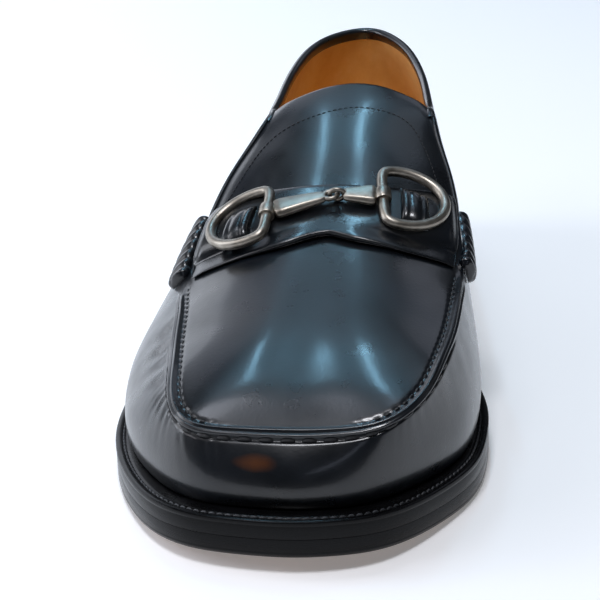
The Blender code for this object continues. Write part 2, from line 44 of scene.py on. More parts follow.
shoe = {
    "length": 0.300,
    "ballWidth": 0.1175,
    "upperRise": 0.057,
    "heelHeight": 0.0195,
    "heelLength": 0.062,
    "toeSpring": 0.0052,
    "outsole": 0.0060,
    "welt": 0.0055,
    "insole": 0.0030,
    "gap": 0.0003,
    "weltReach": 0.0085,
    "belly": 0.0030,
    "calf": 0.0012,  # thickness of the outer leather
    "lining": 0.0009,
}
# along, lateral, medial, reach of the welt
soleRows = np.array([
    (0.0000, 0.000, 0.000, 1.00),
    (0.0060, 0.140, 0.111, 1.00),
    (0.0210, 0.250, 0.204, 0.97),
    (0.0540, 0.347, 0.292, 0.90),
    (0.1067, 0.430, 0.376, 0.76),
    (0.1667, 0.492, 0.441, 0.62),
    (0.2333, 0.530, 0.464, 0.52),
    (0.3033, 0.538, 0.460, 0.48),
    (0.3733, 0.526, 0.423, 0.46),
    (0.4433, 0.490, 0.370, 0.46),
    (0.5100, 0.430, 0.315, 0.58),
    (0.5733, 0.379, 0.272, 0.58),
    (0.6367, 0.334, 0.255, 0.52),
    (0.7000, 0.305, 0.255, 0.46),
    (0.7667, 0.293, 0.271, 0.42),
    (0.8400, 0.284, 0.280, 0.40),
    (0.9067, 0.258, 0.256, 0.40),
    (0.9667, 0.180, 0.180, 0.40),
    (1.0000, 0.000, 0.000, 0.40),
])
# along, lateral, medial, rise lateral, rise medial, belly lateral, belly medial, fullness
railRows = np.array([
    (0.0550, 0.000, 0.000, 0.368, 0.368, 0.50, 0.50, 2.2),
    (0.0560, 0.115, 0.102, 0.371, 0.376, 0.50, 0.50, 2.2),
    (0.0600, 0.220, 0.204, 0.383, 0.404, 0.50, 0.50, 2.2),
    (0.0763, 0.277, 0.280, 0.420, 0.461, 0.50, 0.50, 2.2),
    (0.1100, 0.309, 0.330, 0.471, 0.532, 0.60, 0.60, 2.2),
    (0.1567, 0.326, 0.357, 0.524, 0.595, 0.70, 0.70, 2.1),
    (0.2167, 0.346, 0.378, 0.549, 0.635, 0.80, 0.80, 2.0),
    (0.2833, 0.365, 0.388, 0.577, 0.675, 1.20, 0.80, 2.0),
    (0.3500, 0.383, 0.391, 0.608, 0.714, 1.40, 1.30, 1.9),
    (0.4133, 0.353, 0.374, 0.778, 0.857, 1.30, 2.00, 1.7),
    (0.4733, 0.306, 0.345, 0.955, 0.999, 0.80, 2.50, 1.6),
    (0.5233, 0.249, 0.306, 1.070, 1.105, 0.70, 2.50, 1.6),
    (0.5700, 0.200, 0.281, 1.150, 1.165, 0.70, 2.20, 1.6),
    (0.6367, 0.226, 0.274, 0.985, 0.995, 0.70, 1.60, 1.6),
    (0.7133, 0.232, 0.255, 0.885, 0.895, 0.70, 1.10, 1.6),
    (0.7967, 0.225, 0.226, 0.881, 0.881, 0.80, 0.90, 1.6),
    (0.8733, 0.194, 0.176, 0.940, 0.940, 0.90, 0.90, 1.6),
    (0.9333, 0.120, 0.100, 0.986, 0.986, 1.00, 1.00, 1.7),
    (0.9633, 0.000, 0.000, 1.000, 1.000, 1.00, 1.00, 1.8),
])
# along, offset, rise
crestRows = np.array([
    (0.1400, 0.009, 0.602),
    (0.1433, 0.009, 0.608),
    (0.1533, 0.010, 0.628),
    (0.1700, 0.012, 0.661),
    (0.1933, 0.014, 0.697),
    (0.2233, 0.017, 0.738),
    (0.2667, 0.020, 0.794),
    (0.3167, 0.026, 0.865),
    (0.3700, 0.031, 0.951),
    (0.4233, 0.037, 1.050),
    (0.4800, 0.043, 1.165),
    (0.5367, 0.049, 1.232),
    (0.5967, 0.053, 1.265),
])
# along, spring, lift
profileRows = np.array([
    (0.0000, 1.00, 0.00),
    (0.0500, 0.60, 0.00),
    (0.1000, 0.30, 0.00),
    (0.1600, 0.08, 0.00),
    (0.2100, 0.00, 0.00),
    (0.3700, 0.00, 0.00),
    (0.4200, 0.00, 0.04),
    (0.4700, 0.00, 0.13),
    (0.5200, 0.00, 0.27),
    (0.5700, 0.00, 0.44),
    (0.6200, 0.00, 0.61),
    (0.6700, 0.00, 0.77),
    (0.7200, 0.00, 0.90),
    (0.7700, 0.00, 0.98),
    (0.8000, 0.00, 1.00),
    (1.0000, 0.00, 1.00),
])
rounds = 2 * (len(railRows) - 1)  # places on the closed round of the last
tongueRow = len(crestRows) - 1


def unit(v):
    return v / np.maximum(np.linalg.norm(v, axis=-1, keepdims=True), 1e-12)


def smoothStep(low, high, value):
    t = np.clip((value - low) / (high - low), 0, 1)
    return t * t * (3 - 2 * t)


def splineThrough(values, place, closed=True):
    values = np.asarray(values, float)
    n = len(values)
    if closed:
        system = np.eye(n) * 4 + np.roll(np.eye(n), 1, 0) + np.roll(np.eye(n), -1, 0)
        push = 6 * (np.roll(values, -1) - 2 * values + np.roll(values, 1))
    else:
        system = np.eye(n) * 4 + np.eye(n, k=1) + np.eye(n, k=-1)
        system[0], system[-1] = np.eye(n)[0], np.eye(n)[-1]
        push = np.zeros(n)
        push[1:-1] = 6 * (values[2:] - 2 * values[1:-1] + values[:-2])
    bends = np.linalg.solve(system, push)
    low = np.floor(place).astype(int)
    if not closed:
        low = np.clip(low, 0, n - 2)
    t = place - low
    a, b = low % n, (low + 1) % n
    s = 1 - t
    return s * values[a] + t * values[b] + ((s**3 - s) * bends[a] + (t**3 - t) * bends[b]) / 6


def roundValue(rows, lateral, medial, place, scale=1.0, sign=1.0):
    ring = np.concatenate([rows[:, lateral] * sign, rows[-2:0:-1, medial]]) * scale
    return splineThrough(ring, place)


def steadyCurve(rows, column, place):  # through a table's rows, without overshoot
    x, y = rows[:, 0], rows[:, column]
    slope = np.diff(y) / np.diff(x)
    before, after = slope[:-1], slope[1:]
    tangent = np.concatenate([slope[:1], np.zeros(len(x) - 2), slope[-1:]])
    same = before * after > 0
    tangent[1:-1][same] = (2 * before * after)[same] / (before + after)[same]
    k = np.clip(np.searchsorted(x, place) - 1, 0, len(x) - 2)
    w = x[k + 1] - x[k]
    t = np.clip((place - x[k]) / w, 0, 1)
    return (y[k] * (1 + 2 * t) * (1 - t) ** 2 + y[k + 1] * t * t * (3 - 2 * t)
            + w * tangent[k] * t * (1 - t) ** 2 - w * tangent[k + 1] * t * t * (1 - t))


def softened(values, spread):
    reach = int(3 * spread)
    kernel = np.exp(-0.5 * (np.arange(-reach, reach + 1) / spread) ** 2)
    padded = np.pad(values, reach, mode="edge")
    return np.convolve(padded, kernel / kernel.sum(), mode="valid")


undersideY = np.linspace(-0.02, 0.32, 1361)
undersideZ = softened(
    shoe["toeSpring"] * steadyCurve(profileRows, 1, undersideY / shoe["length"])
    + shoe["heelHeight"] * steadyCurve(profileRows, 2, undersideY / shoe["length"]), 12)


def underside(y):
    return np.interp(y, undersideY, undersideZ)


def seat(y):
    return underside(y) + shoe["outsole"] + shoe["gap"] + shoe["welt"]


def outline(place):
    x = roundValue(soleRows, 1, 2, place, shoe["ballWidth"], -1)
    y = roundValue(soleRows, 0, 0, place, shoe["length"])
    return np.stack([x, y, np.zeros_like(x)], -1)


def outward(place):
    ahead = outline(place + 0.2) - outline(place - 0.2)
    return unit(np.stack([-ahead[..., 1], ahead[..., 0], np.zeros_like(ahead[..., 0])], -1))


def feather(place):
    point = outline(place) - outward(place) * roundValue(soleRows, 3, 3, place, shoe["weltReach"])[..., None]
    point[..., 2] = seat(point[..., 1]) + shoe["gap"]
    return point


def rail(place):
    x = roundValue(railRows, 1, 2, place, shoe["ballWidth"], -1)
    y = roundValue(railRows, 0, 0, place, shoe["length"])
    return np.stack([x, y, seat(y) + roundValue(railRows, 3, 4, place, shoe["upperRise"])], -1)


def crest(section):
    rows = np.concatenate([crestRows[3:0:-1], crestRows])
    along, offset, rise = (splineThrough(rows[:, c], section + 3, closed=False) for c in range(3))
    y = along * shoe["length"]
    return np.stack([offset * shoe["ballWidth"], y, seat(y) + rise * shoe["upperRise"]], -1)


def wallPoint(place, height):
    foot, top = feather(place), rail(place)
    belly = roundValue(railRows, 5, 6, place, shoe["belly"])
    fullness = roundValue(railRows, 7, 7, place)
    height = np.maximum(height, 1e-5)
    point = foot + (top - foot) * (height**fullness)[..., None]
    point = point + outward(place) * (belly * np.sin(np.pi * height**0.7))[..., None]
    point[..., 2] = foot[..., 2] + (top[..., 2] - foot[..., 2]) * height
    return point


def sectionOf(place):
    return np.minimum(place % rounds, -place % rounds)


def rawCrown(place, share):
    section = np.minimum(sectionOf(place), tongueRow + 0.5)
    top, middle = rail(place), crest(section)
    roundness = 1.4 + 0.6 * smoothStep(1, 8, section)
    point = middle + (top - middle) * share[..., None]
    arch = 1 + 0.9 * smoothStep(9.4, tongueRow, section)
    point[..., 1] = middle[..., 1] + (top[..., 1] - middle[..., 1]) * share**arch
    point[..., 2] = top[..., 2] + (middle[..., 2] - top[..., 2]) * (1 - share**roundness)
    return point


field = {"step": 0.003, "spread": 0.0065, "x": (-0.060, 0.063), "y": (0.005, 0.200)}


def buildField():  # one even dome through the crown's points, without the crease along its middle
    places = np.linspace(-tongueRow - 0.4, tongueRow + 0.4, 150)[:, None]
    samples = rawCrown(places + np.zeros((1, 14)), np.linspace(0, 1.05, 14)[None] + 0 * places).reshape(-1, 3)
    xs = np.arange(*field["x"], field["step"])
    ys = np.arange(*field["y"], field["step"])
    grid = np.zeros((len(xs), len(ys)))
    for i, x in enumerate(xs):
        dx = samples[None, :, 0] - x
        dy = samples[None, :, 1] - ys[:, None]
        weight = np.exp(-(dx**2 + dy**2) / (2 * field["spread"] ** 2)) + 1e-9
        dx = dx + 0 * dy
        terms = np.stack([np.ones_like(dx), dx, dy, dx * dx, dx * dy, dy * dy], -1)
        terms[..., 1:3] /= field["spread"]
        terms[..., 3:] /= field["spread"] ** 2
        system = np.einsum("nmi,nm,nmj->nij", terms, weight, terms) + np.eye(6) * 1e-7
        push = np.einsum("nmi,nm,m->ni", terms, weight, samples[:, 2])
        grid[i] = np.linalg.solve(system, push[..., None])[:, 0, 0]
    field["grid"] = grid


def fieldHeight(x, y):
    grid = field["grid"]
    u = np.clip((x - field["x"][0]) / field["step"], 1, grid.shape[0] - 3.001)
    v = np.clip((y - field["y"][0]) / field["step"], 1, grid.shape[1] - 3.001)
    i, j = np.floor(u).astype(int), np.floor(v).astype(int)

    def weights(t):  # cubic B-spline
        return ((1 - t) ** 3 / 6, (3 * t**3 - 6 * t**2 + 4) / 6,
                (-3 * t**3 + 3 * t**2 + 3 * t + 1) / 6, t**3 / 6)

    total = 0
    for di, wi in enumerate(weights(u - i)):
        for dj, wj in enumerate(weights(v - j)):
            total = total + wi * wj * grid[i + di - 1, j + dj - 1]
    return total


def crownPoint(place, share):
    point = rawCrown(place, share)
    even = fieldHeight(point[..., 0], point[..., 1])
    weight = 1 - smoothStep(0.50, 0.86, share)
    point[..., 2] += (even - point[..., 2]) * weight
    return point


def skinPoint(section, across):
    section, across = np.broadcast_arrays(np.asarray(section, float), np.asarray(across, float))
    place = np.where(across < 0, section, -section)
    size = np.abs(across)
    crown = crownPoint(place, np.minimum(size, 1.0))
    wall = wallPoint(place, np.clip(2 - size, 0, 1))
    return np.where((size <= 1)[..., None], crown, wall)


def skinFrame(section, across):  # point, and the directions to medial, to the heel and outwards
    reach = 0.03
    point = skinPoint(section, across)
    sideways = skinPoint(section, across + reach) - skinPoint(section, across - reach)
    lengthways = skinPoint(section + reach, across) - skinPoint(section - reach, across)
    up = unit(np.cross(sideways, lengthways))
    lengthways = unit(lengthways - up * (lengthways * up).sum(-1, keepdims=True))
    return point, np.cross(lengthways, up), lengthways, up


def toWorld(points):
    return points + np.array([0, shoe["heelLength"] / 2 - shoe["length"], 0])


buildField()
print("last worked out")


def finish(name, mesh, materials, smoothAngle=None):
    piece = bpy.data.objects.new(name, mesh)
    bpy.context.scene.collection.objects.link(piece)
    for material in materials if isinstance(materials, (list, tuple)) else [materials]:
        mesh.materials.append(material)
    mesh.polygons.foreach_set("use_smooth", np.ones(len(mesh.polygons), bool))
    if smoothAngle:
        select(piece)
        bpy.ops.object.shade_smooth_by_angle(angle=math.radians(smoothAngle))
    return piece


def select(piece):
    bpy.ops.object.select_all(action="DESELECT")
    piece.select_set(True)
    bpy.context.view_layer.objects.active = piece


def applyAll(piece):
    select(piece)
    for modifier in list(piece.modifiers):
        bpy.ops.object.modifier_apply(modifier=modifier.name)


def meshOf(name, verts, faces):
    mesh = bpy.data.meshes.new(name)
    mesh.from_pydata([tuple(v) for v in verts], [], [tuple(int(i) for i in f) for f in faces])
    mesh.update()
    return mesh


def gridFaces(n, m, closeN=False, closeM=False, offset=0):
    i = np.arange(n if closeN else n - 1)[:, None]
    j = np.arange(m if closeM else m - 1)[None]
    a = i * m + j
    b = i * m + (j + 1) % m
    c = (i + 1) % n * m + (j + 1) % m
    d = (i + 1) % n * m + j
    return np.stack([a, b, c, d], -1).reshape(-1, 4) + offset


def recalc(mesh, merge=0.0):
    shape = bmesh.new()
    shape.from_mesh(mesh)
    if merge:
        bmesh.ops.remove_doubles(shape, verts=shape.verts, dist=merge)
    bmesh.ops.recalc_face_normals(shape, faces=shape.faces)
    shape.to_mesh(mesh)
    shape.free()


def gridNormals(points, closeN=False):
    if closeN:
        alongN = np.roll(points, -1, 0) - np.roll(points, 1, 0)
    else:
        alongN = np.gradient(points, axis=0)
    return unit(np.cross(np.gradient(points, axis=1), alongN))


def strip(name, loops, material, smoothAngle=50):  # closed band from its cross-sections, with end caps
    loops = np.asarray(loops)
    n, m = loops.shape[:2]
    faces = [list(f) for f in gridFaces(n, m, closeM=True)]
    faces += [list(range(m)), list(range((n - 1) * m, n * m))]
    mesh = meshOf(name, toWorld(loops.reshape(-1, 3)), faces)
    recalc(mesh)
    return finish(name, mesh, material, smoothAngle)


def tube(path, radius, sides=8, closed=False):  # verts and faces of a round wire
    path = np.asarray(path, float)
    if closed:
        tangent = unit(np.roll(path, -1, 0) - np.roll(path, 1, 0))
    else:
        tangent = unit(np.gradient(path, axis=0))
    side = np.zeros_like(path)
    side[0] = unit(np.cross(tangent[0], [0.3, 0.2, 0.93]))
    for k in range(1, len(path)):
        s = side[k - 1] - tangent[k] * (side[k - 1] @ tangent[k])
        side[k] = unit(s)
    other = np.cross(tangent, side)
    angle = np.arange(sides) / sides * 2 * np.pi
    radius = np.broadcast_to(np.asarray(radius, float), (len(path),))
    ring = (path[:, None] + radius[:, None, None] * (np.cos(angle)[None, :, None] * side[:, None]
            + np.sin(angle)[None, :, None] * other[:, None]))
    faces = [list(f) for f in gridFaces(len(path), sides, closeN=closed, closeM=True)]
    if not closed:
        faces += [list(range(sides)), list(range((len(path) - 1) * sides, len(path) * sides))]
    return ring.reshape(-1, 3), faces


def joinShapes(name, shapes, material, smoothAngle=50, world=False):
    verts, faces = [], []
    for v, f in shapes:
        base = len(verts)
        verts.extend(v if world else toWorld(v))
        faces.extend([[i + base for i in face] for face in f])
    mesh = meshOf(name, verts, faces)
    recalc(mesh)
    return finish(name, mesh, material, smoothAngle)


def stitchShape(start, end, up, width, height, sink):  # a thread loop that dives in at both ends
    t = np.array([0.0, 0.12, 0.32, 0.68, 0.88, 1.0])
    lift = np.array([-0.9, 0.1, 0.85, 0.85, 0.1, -0.9])
    size = np.array([0.6, 0.95, 1.0, 1.0, 0.95, 0.6])
    path = start + (end - start) * t[:, None] + up * (lift * height - sink * height)[:, None]
    return tube(path, width / 2 * size, 6)


def fromHex(code):
    parts = [int(code[k:k + 2], 16) / 255 for k in (1, 3, 5)]
    return tuple(p / 12.92 if p <= 0.04045 else ((p + 0.055) / 1.055) ** 2.4 for p in parts) + (1.0,)


# settings: property, input or colour stops to value; links: input to socket
def addNode(tree, kind, settings=None, **links):
    node = tree.nodes.new(kind)
    for key, value in (settings or {}).items():
        if key == "stops":
            points = node.color_ramp.elements
            while len(points) < len(value):
                points.new(0.5)
            for point, (position, tone) in zip(points, value):
                point.position = position
                point.color = fromHex(tone) if isinstance(tone, str) else (tone, tone, tone, 1)
        elif isinstance(key, str) and hasattr(node, key):
            setattr(node, key, value)
        else:
            node.inputs[key].default_value = value
    for key, socket in links.items():
        name = key.replace("_", " ")
        target = node.inputs[int(name[1:])] if name[0] == "i" and name[1:].isdigit() else node.inputs[name]
        tree.links.new(socket, target)
    return node


def newMaterial(name, colour, roughness, **extra):
    material = bpy.data.materials.new(name)
    material.use_nodes = True
    tree = material.node_tree
    shader = tree.nodes["Principled BSDF"]
    shader.inputs["Base Color"].default_value = fromHex(colour)
    shader.inputs["Roughness"].default_value = roughness
    for key, value in extra.items():
        shader.inputs[key.replace("_", " ")].default_value = value
    material.diffuse_color = fromHex(colour)
    return material, tree, shader


def roughnessBy(tree, shader, pattern, low, high):
    rough = addNode(tree, "ShaderNodeMapRange",
                    {"From Min": 0.3, "From Max": 0.7, "To Min": low, "To Max": high}, Value=pattern)
    tree.links.new(rough.outputs["Result"], shader.inputs["Roughness"])


# cloud: pattern of the colour; grain: pattern of the relief, the cloud's own if left out
def makeFinish(name, colour, roughness, cloud, stops, relief, grain=None, gloss=None, stretch=None, **extra):
    material, tree, shader = newMaterial(name, colour, roughness, **extra)
    place = addNode(tree, "ShaderNodeTexCoord").outputs["Object"]
    if stretch:
        place = addNode(tree, "ShaderNodeMapping", {"Scale": stretch}, Vector=place).outputs["Vector"]
    clouds = addNode(tree, "ShaderNodeTexNoise", cloud, Vector=place).outputs["Fac"]
    tint = addNode(tree, "ShaderNodeValToRGB", {"stops": stops}, Fac=clouds)
    tree.links.new(tint.outputs["Color"], shader.inputs["Base Color"])
    if gloss:
        roughnessBy(tree, shader, clouds, *gloss)
    fine = addNode(tree, "ShaderNodeTexNoise", grain, Vector=place).outputs["Fac"] if grain else clouds
    strength, distance = relief
    height = addNode(tree, "ShaderNodeBump", {"Strength": strength, "Distance": distance}, Height=fine)
    tree.links.new(height.outputs["Normal"], shader.inputs["Normal"])
    return material


calfLook = {
    "black": "#07090c", "blueBlack": "#0c1118", "paintedReflectionBrown": "#8a4a0c",
    "cloudScale": 38.0, "wearScale": 90.0,  # clouds of 26 mm and 11 mm
    "grainMm": 0.5, "grainDeep": 0.0002, "grain": 0.15, "coatGrain": 0.08,
    "paintedReflectionSpot": (-0.009, -0.252, 0.029),  # middle of the painted reflection: a brown patch on the toe
    "paintedReflectionReach": (56.0, 40.0, 190.0),  # 1 / its reach each way
}


def makeCalf(name, roughness):
    # box calf, aniline dyed and glazed: deep black, blue in the light, with a fine even grain under polish
    material, tree, shader = newMaterial(name, calfLook["black"], roughness, Coat_Weight=0.4,
                                         Coat_Roughness=0.13, Specular_IOR_Level=0.4)
    place = addNode(tree, "ShaderNodeTexCoord").outputs["Object"]
    cloud = addNode(tree, "ShaderNodeTexNoise", {"Scale": calfLook["cloudScale"], "Detail": 3.0}, Vector=place)
    stops = [(0.35, calfLook["black"]), (0.7, calfLook["blueBlack"])]
    dye = addNode(tree, "ShaderNodeValToRGB", {"stops": stops}, Fac=cloud.outputs["Fac"])
    # painted reflection: a brown patch mixed into the black on the toe, standing in for an orange reflection
    apart = addNode(tree, "ShaderNodeVectorMath", {"operation": "SUBTRACT", 1: calfLook["paintedReflectionSpot"]}, i0=place)
    shares = addNode(tree, "ShaderNodeVectorMath", {"operation": "MULTIPLY", 1: calfLook["paintedReflectionReach"]},
                     i0=apart.outputs["Vector"])
    away = addNode(tree, "ShaderNodeVectorMath", {"operation": "LENGTH"}, i0=shares.outputs["Vector"])
    uneven = addNode(tree, "ShaderNodeMath", {"operation": "ADD"},
                     i0=away.outputs["Value"], i1=cloud.outputs["Fac"])
    paintedReflectionMask = addNode(tree, "ShaderNodeValToRGB", {"stops": [(0.42, 0.45), (1.0, 0.0)]}, Fac=uneven.outputs["Value"])
    tint = addNode(tree, "ShaderNodeMixRGB", {"Color2": fromHex(calfLook["paintedReflectionBrown"])},
                   Fac=paintedReflectionMask.outputs["Color"], Color1=dye.outputs["Color"])
    tree.links.new(tint.outputs["Color"], shader.inputs["Base Color"])
    wear = addNode(tree, "ShaderNodeTexNoise", {"Scale": calfLook["wearScale"], "Detail": 5.0}, Vector=place)
    roughnessBy(tree, shader, wear.outputs["Fac"], roughness - 0.05, roughness + 0.07)
    fine = addNode(tree, "ShaderNodeTexNoise",
                   {"Scale": 500 / calfLook["grainMm"], "Detail": 3.0, "Roughness": 0.5}, Vector=place)
    for strength, socket in ((calfLook["grain"], "Normal"), (calfLook["coatGrain"], "Coat Normal")):
        height = addNode(tree, "ShaderNodeBump", {"Strength": strength, "Distance": calfLook["grainDeep"]},
                         Height=fine.outputs["Fac"])
        tree.links.new(height.outputs["Normal"], shader.inputs[socket])
    return material


def makeEdge(name, dark, light, roughness, strength):
    # leather edge, sanded, inked and waxed: near black, with the fibres' fine level lines, 0.9 mm apart
    return makeFinish(name, dark, roughness, {"Scale": 1000 / 0.9 / 14, "Detail": 5.0, "Roughness": 0.65},
                      [(0.35, dark), (0.75, light)], (strength, 0.0003),
                      gloss=(roughness - 0.08, roughness + 0.10), stretch=(1.0, 1.0, 14.0),
                      Coat_Weight=0.06, Coat_Roughness=0.16, Specular_IOR_Level=0.12)


def makeThread(name, dark, light):
    # waxed linen thread, plied: matt, with a twist too fine to see drawn at 0.5 mm
    return makeFinish(name, dark, 0.55, {"Scale": 2000.0, "Detail": 2.0},
                      [(0.35, dark), (0.7, light)], (0.3, 0.0003))


calf = makeCalf("polishedBlackCalf", 0.30)
strapCalf = makeCalf("strapCalf", 0.28)
# vegetable-tanned calf lining, unglazed: warm tan, matt, with a 0.7 mm nap and handling marks of 17 mm
lining = makeFinish("tanCalfLining", "#e2ac5e", 0.55, {"Scale": 60.0, "Detail": 6.0, "Roughness": 0.65},
                    [(0.3, "#d99f52"), (0.55, "#e6b466"), (0.8, "#efc582")], (0.25, 0.0003),
                    grain={"Scale": 1500.0, "Detail": 4.0}, Sheen_Weight=0.12, Sheen_Roughness=0.5)
edgeInk = makeEdge("inkedSoleEdge", "#040405", "#0b0b0d", 0.28, 0.08)
heelInk = makeEdge("inkedHeelLifts", "#080707", "#171311", 0.38, 0.15)
# nickel-plated brass, brushed to a satin: warm grey, clouded every 4 mm, with scratches about 1 mm apart
nickel = makeFinish("polishedNickelPlate", "#8f8a82", 0.38, {"Scale": 260.0, "Detail": 4.0},
                    [(0.3, "#857e74"), (0.7, "#a8a298")], (0.05, 0.0003),
                    grain={"Scale": 900.0, "Detail": 3.0, "Distortion": 1.5}, gloss=(0.32, 0.46), Metallic=1.0)
blackThread = makeThread("blackLinenThread", "#08080a", "#1a1c20")
weltThread = makeThread("greyLinenThread", "#17191c", "#4a4d52")
# oak-bark tanned sole bend, scoured and waxed: mid brown, with fibre clouds of 14 mm and a 0.8 mm grain
soleLeather = makeFinish("oakBarkSoleLeather", "#6b4424", 0.5, {"Scale": 70.0, "Detail": 6.0, "Roughness": 0.7},
                         [(0.3, "#5a3519"), (0.7, "#80532c")], (0.2, 0.0003),
                         grain={"Scale": 1200.0, "Detail": 4.0}, Coat_Weight=0.15, Coat_Roughness=0.35)
# vulcanised rubber top lift, moulded: dull charcoal with a 0.7 mm stipple
rubber = makeFinish("topLiftRubber", "#17171a", 0.75, {"Scale": 1400.0, "Detail": 3.0},
                    [(0.3, "#141416"), (0.7, "#232327")], (0.35, 0.0004))
print("materials made")


seam = {
    "bead": 0.00090,  # half distance between the two beads of the apron seam
    "beadRise": 0.0011,
    "beadWidth": 0.00070,
    "gapRise": 0.00065,
    "inner": 0.0028,  # stitched groove on the apron, from the seam
    "innerDepth": 0.00045,
    "innerWidth": 0.0008,
    "outer": -0.0019,  # stitched groove on the vamp
    "outerDepth": 0.00065,
    "outerWidth": 0.0007,
    "stitchPitch": 0.0061,
    "stitchLength": 0.0042,
    "innerPitch": 0.0034,
    "fadeRows": (7.3, 8.0),  # the seam sinks under the strap
    "quarterRows": (8.9, 9.5),  # behind it the quarter laps the tongue
    "quarterLap": 0.0009,
}
pleats = {"pitch": 0.0036, "depth": 0.00036, "length": 0.0065, "broadPitch": 0.0125, "broadDepth": 0.00022,
          "broadLength": 0.013, "medialShare": 0.35}


def railSpacing():  # places round the shoe, close together along the apron seam
    fine = np.linspace(0, rounds, 7201)
    points = rail(fine)
    run = np.concatenate([[0], np.cumsum(np.linalg.norm(np.diff(points, axis=0), axis=1))])
    spacing = np.where(sectionOf(fine) < 8.3, 0.00062, 0.0019)
    spacing = np.where(sectionOf(fine) < 3.8, 0.00050, spacing)
    count = np.concatenate([[0], np.cumsum(np.diff(run) / spacing[1:])])
    half = int(round(count[3600]))
    picks = np.interp(np.linspace(0, count[3600], half + 1), count[:3601], fine[:3601])
    return np.concatenate([picks, rounds - picks[-2:0:-1]])


places = railSpacing()
fineRail = rail(np.linspace(-rounds / 2, rounds / 2, 7201))
fineRun = np.concatenate([[0], np.cumsum(np.linalg.norm(np.diff(fineRail, axis=0), axis=1))])
fineRun -= fineRun[3600]


def runAt(place):  # distance along the seam from the toe, lateral positive
    place = (place + rounds / 2) % rounds - rounds / 2
    return np.interp(place, np.linspace(-rounds / 2, rounds / 2, 7201), fineRun)


def placeAt(run):
    return np.interp(run, fineRun, np.linspace(-rounds / 2, rounds / 2, 7201))


def bump(x, centre, width):
    return np.exp(-(((x - centre) / width) ** 2))


# rise of the leather from the last; offset: distance past the seam, crown side positive
def relief(place, offset, points):
    section = sectionOf(place)
    run = runAt(place)
    apronEdge = 1 - smoothStep(*seam["fadeRows"], section)
    away = np.abs(offset)
    hollow = seam["gapRise"] + (seam["beadRise"] - seam["gapRise"]) * (away / seam["bead"]) ** 1.5
    outerSlope = seam["beadRise"] * np.exp(-((away - seam["bead"]) / seam["beadWidth"]) ** 2)
    ridge = np.where(away < seam["bead"], hollow, outerSlope)
    stitched = 0.75 + 0.25 * np.cos(2 * np.pi * run / seam["innerPitch"])
    inner = seam["innerDepth"] * bump(offset, seam["inner"], seam["innerWidth"])
    inner = inner * smoothStep(1.2, 2.6, section) * stitched
    outer = seam["outerDepth"] * bump(offset, seam["outer"], seam["outerWidth"])
    outer = outer * (1 - smoothStep(5.2, 6.2, section))
    rise = apronEdge * (ridge - inner - outer)
    below = np.maximum(-offset - 0.0016, 0)
    lateral = np.where((place % rounds) < rounds / 2, 1.0, pleats["medialShare"])
    corner = lateral * smoothStep(1.0, 2.2, section) * (1 - smoothStep(3.6, 5.2, section))
    turns = (run + 0.25 * below) / pleats["pitch"]
    gather = 0.5 + 0.5 * np.cos(2 * np.pi * turns + 0.9 * np.sin(run * 350.0))
    uneven = 0.6 + 0.5 * np.sin(run * 410.0) * np.sin(run * 273.0 + 1.0)
    fade = smoothStep(0, 0.0015, below) * np.exp(-(below / pleats["length"]) ** 1.3)
    rise = rise - apronEdge * pleats["depth"] * corner * gather * uneven * fade
    side = lateral * smoothStep(3.4, 4.8, section) * (1 - smoothStep(7.0, 8.2, section))
    turns = (run - 0.35 * below) / pleats["broadPitch"]
    fold = 0.5 + 0.5 * np.sin(2 * np.pi * turns + 1.6 * np.sin(run * 90.0))
    fade = smoothStep(0, 0.004, below) * np.exp(-(below / pleats["broadLength"]) ** 2)
    rise = rise - apronEdge * pleats["broadDepth"] * side * fold * fade
    quarter = smoothStep(*seam["quarterRows"], section) * (section <= tongueRow + 0.6)
    step = np.where(offset <= 0, 0.45 * np.exp(-(offset / 0.006) ** 2),
                    -0.55 * np.exp(-(offset / 0.004) ** 2))
    rise = rise + quarter * seam["quarterLap"] * step
    x, y, z = points[..., 0], points[..., 1], points[..., 2]
    wave = np.sin(x * 95 + y * 41 + 1.3) * np.sin(y * 63 - x * 37 + z * 50)
    return rise + 0.00002 * wave * smoothStep(0.003, 0.009, np.abs(offset))


def seamDirection(place):  # halfway between the wall's and the crown's own directions, at the seam
    top = rail(place)
    tangent = rail(place + 0.02) - rail(place - 0.02)
    wallUp = np.cross(wallPoint(place, np.full(len(place), 0.95)) - top, tangent)
    wallUp = unit(wallUp * np.sign((wallUp * outward(place)).sum(-1, keepdims=True)))
    crownUp = np.cross(crownPoint(place, np.full(len(place), 0.95)) - top, tangent)
    crownUp = unit(crownUp * np.sign(crownUp[:, 2:]))
    onCrown = 1 - smoothStep(tongueRow - 0.05, tongueRow + 0.05, sectionOf(place) - 0.06)
    return unit(wallUp + crownUp * onCrown[:, None])


def rowsByLength(curve, rowsNear, rowsFar):  # curve(t): points from the seam on; t picked by length along it
    t = np.linspace(0, 1, 240)
    dense = curve(t)
    run = np.concatenate([np.zeros((len(dense), 1)),
                          np.cumsum(np.linalg.norm(np.diff(dense, axis=1), axis=2), axis=1)], 1)
    wanted = []
    near = np.asarray(rowsNear)
    for lengths in run:
        full = lengths[-1]
        scale = min(1.0, 0.8 * full / near[-1])
        far = near[-1] * scale + (full - near[-1] * scale) * np.linspace(0, 1, rowsFar + 1)[1:]
        wanted.append(np.interp(np.concatenate([near * scale, far]), lengths, t))
    wanted = np.array(wanted)
    offsets = np.array([np.interp(w, t, lengths) for w, lengths in zip(wanted, run)])
    return wanted, offsets


# millimetres from the seam
nearRows = np.array([0, 0.25, 0.5, 0.75, 1.0, 1.25, 1.5, 1.75, 2.0, 2.3, 2.6, 2.9, 3.2, 3.5, 3.8, 4.2, 4.7,
                     5.3, 6.0, 6.9, 8.0, 9.3, 10.8]) / 1000


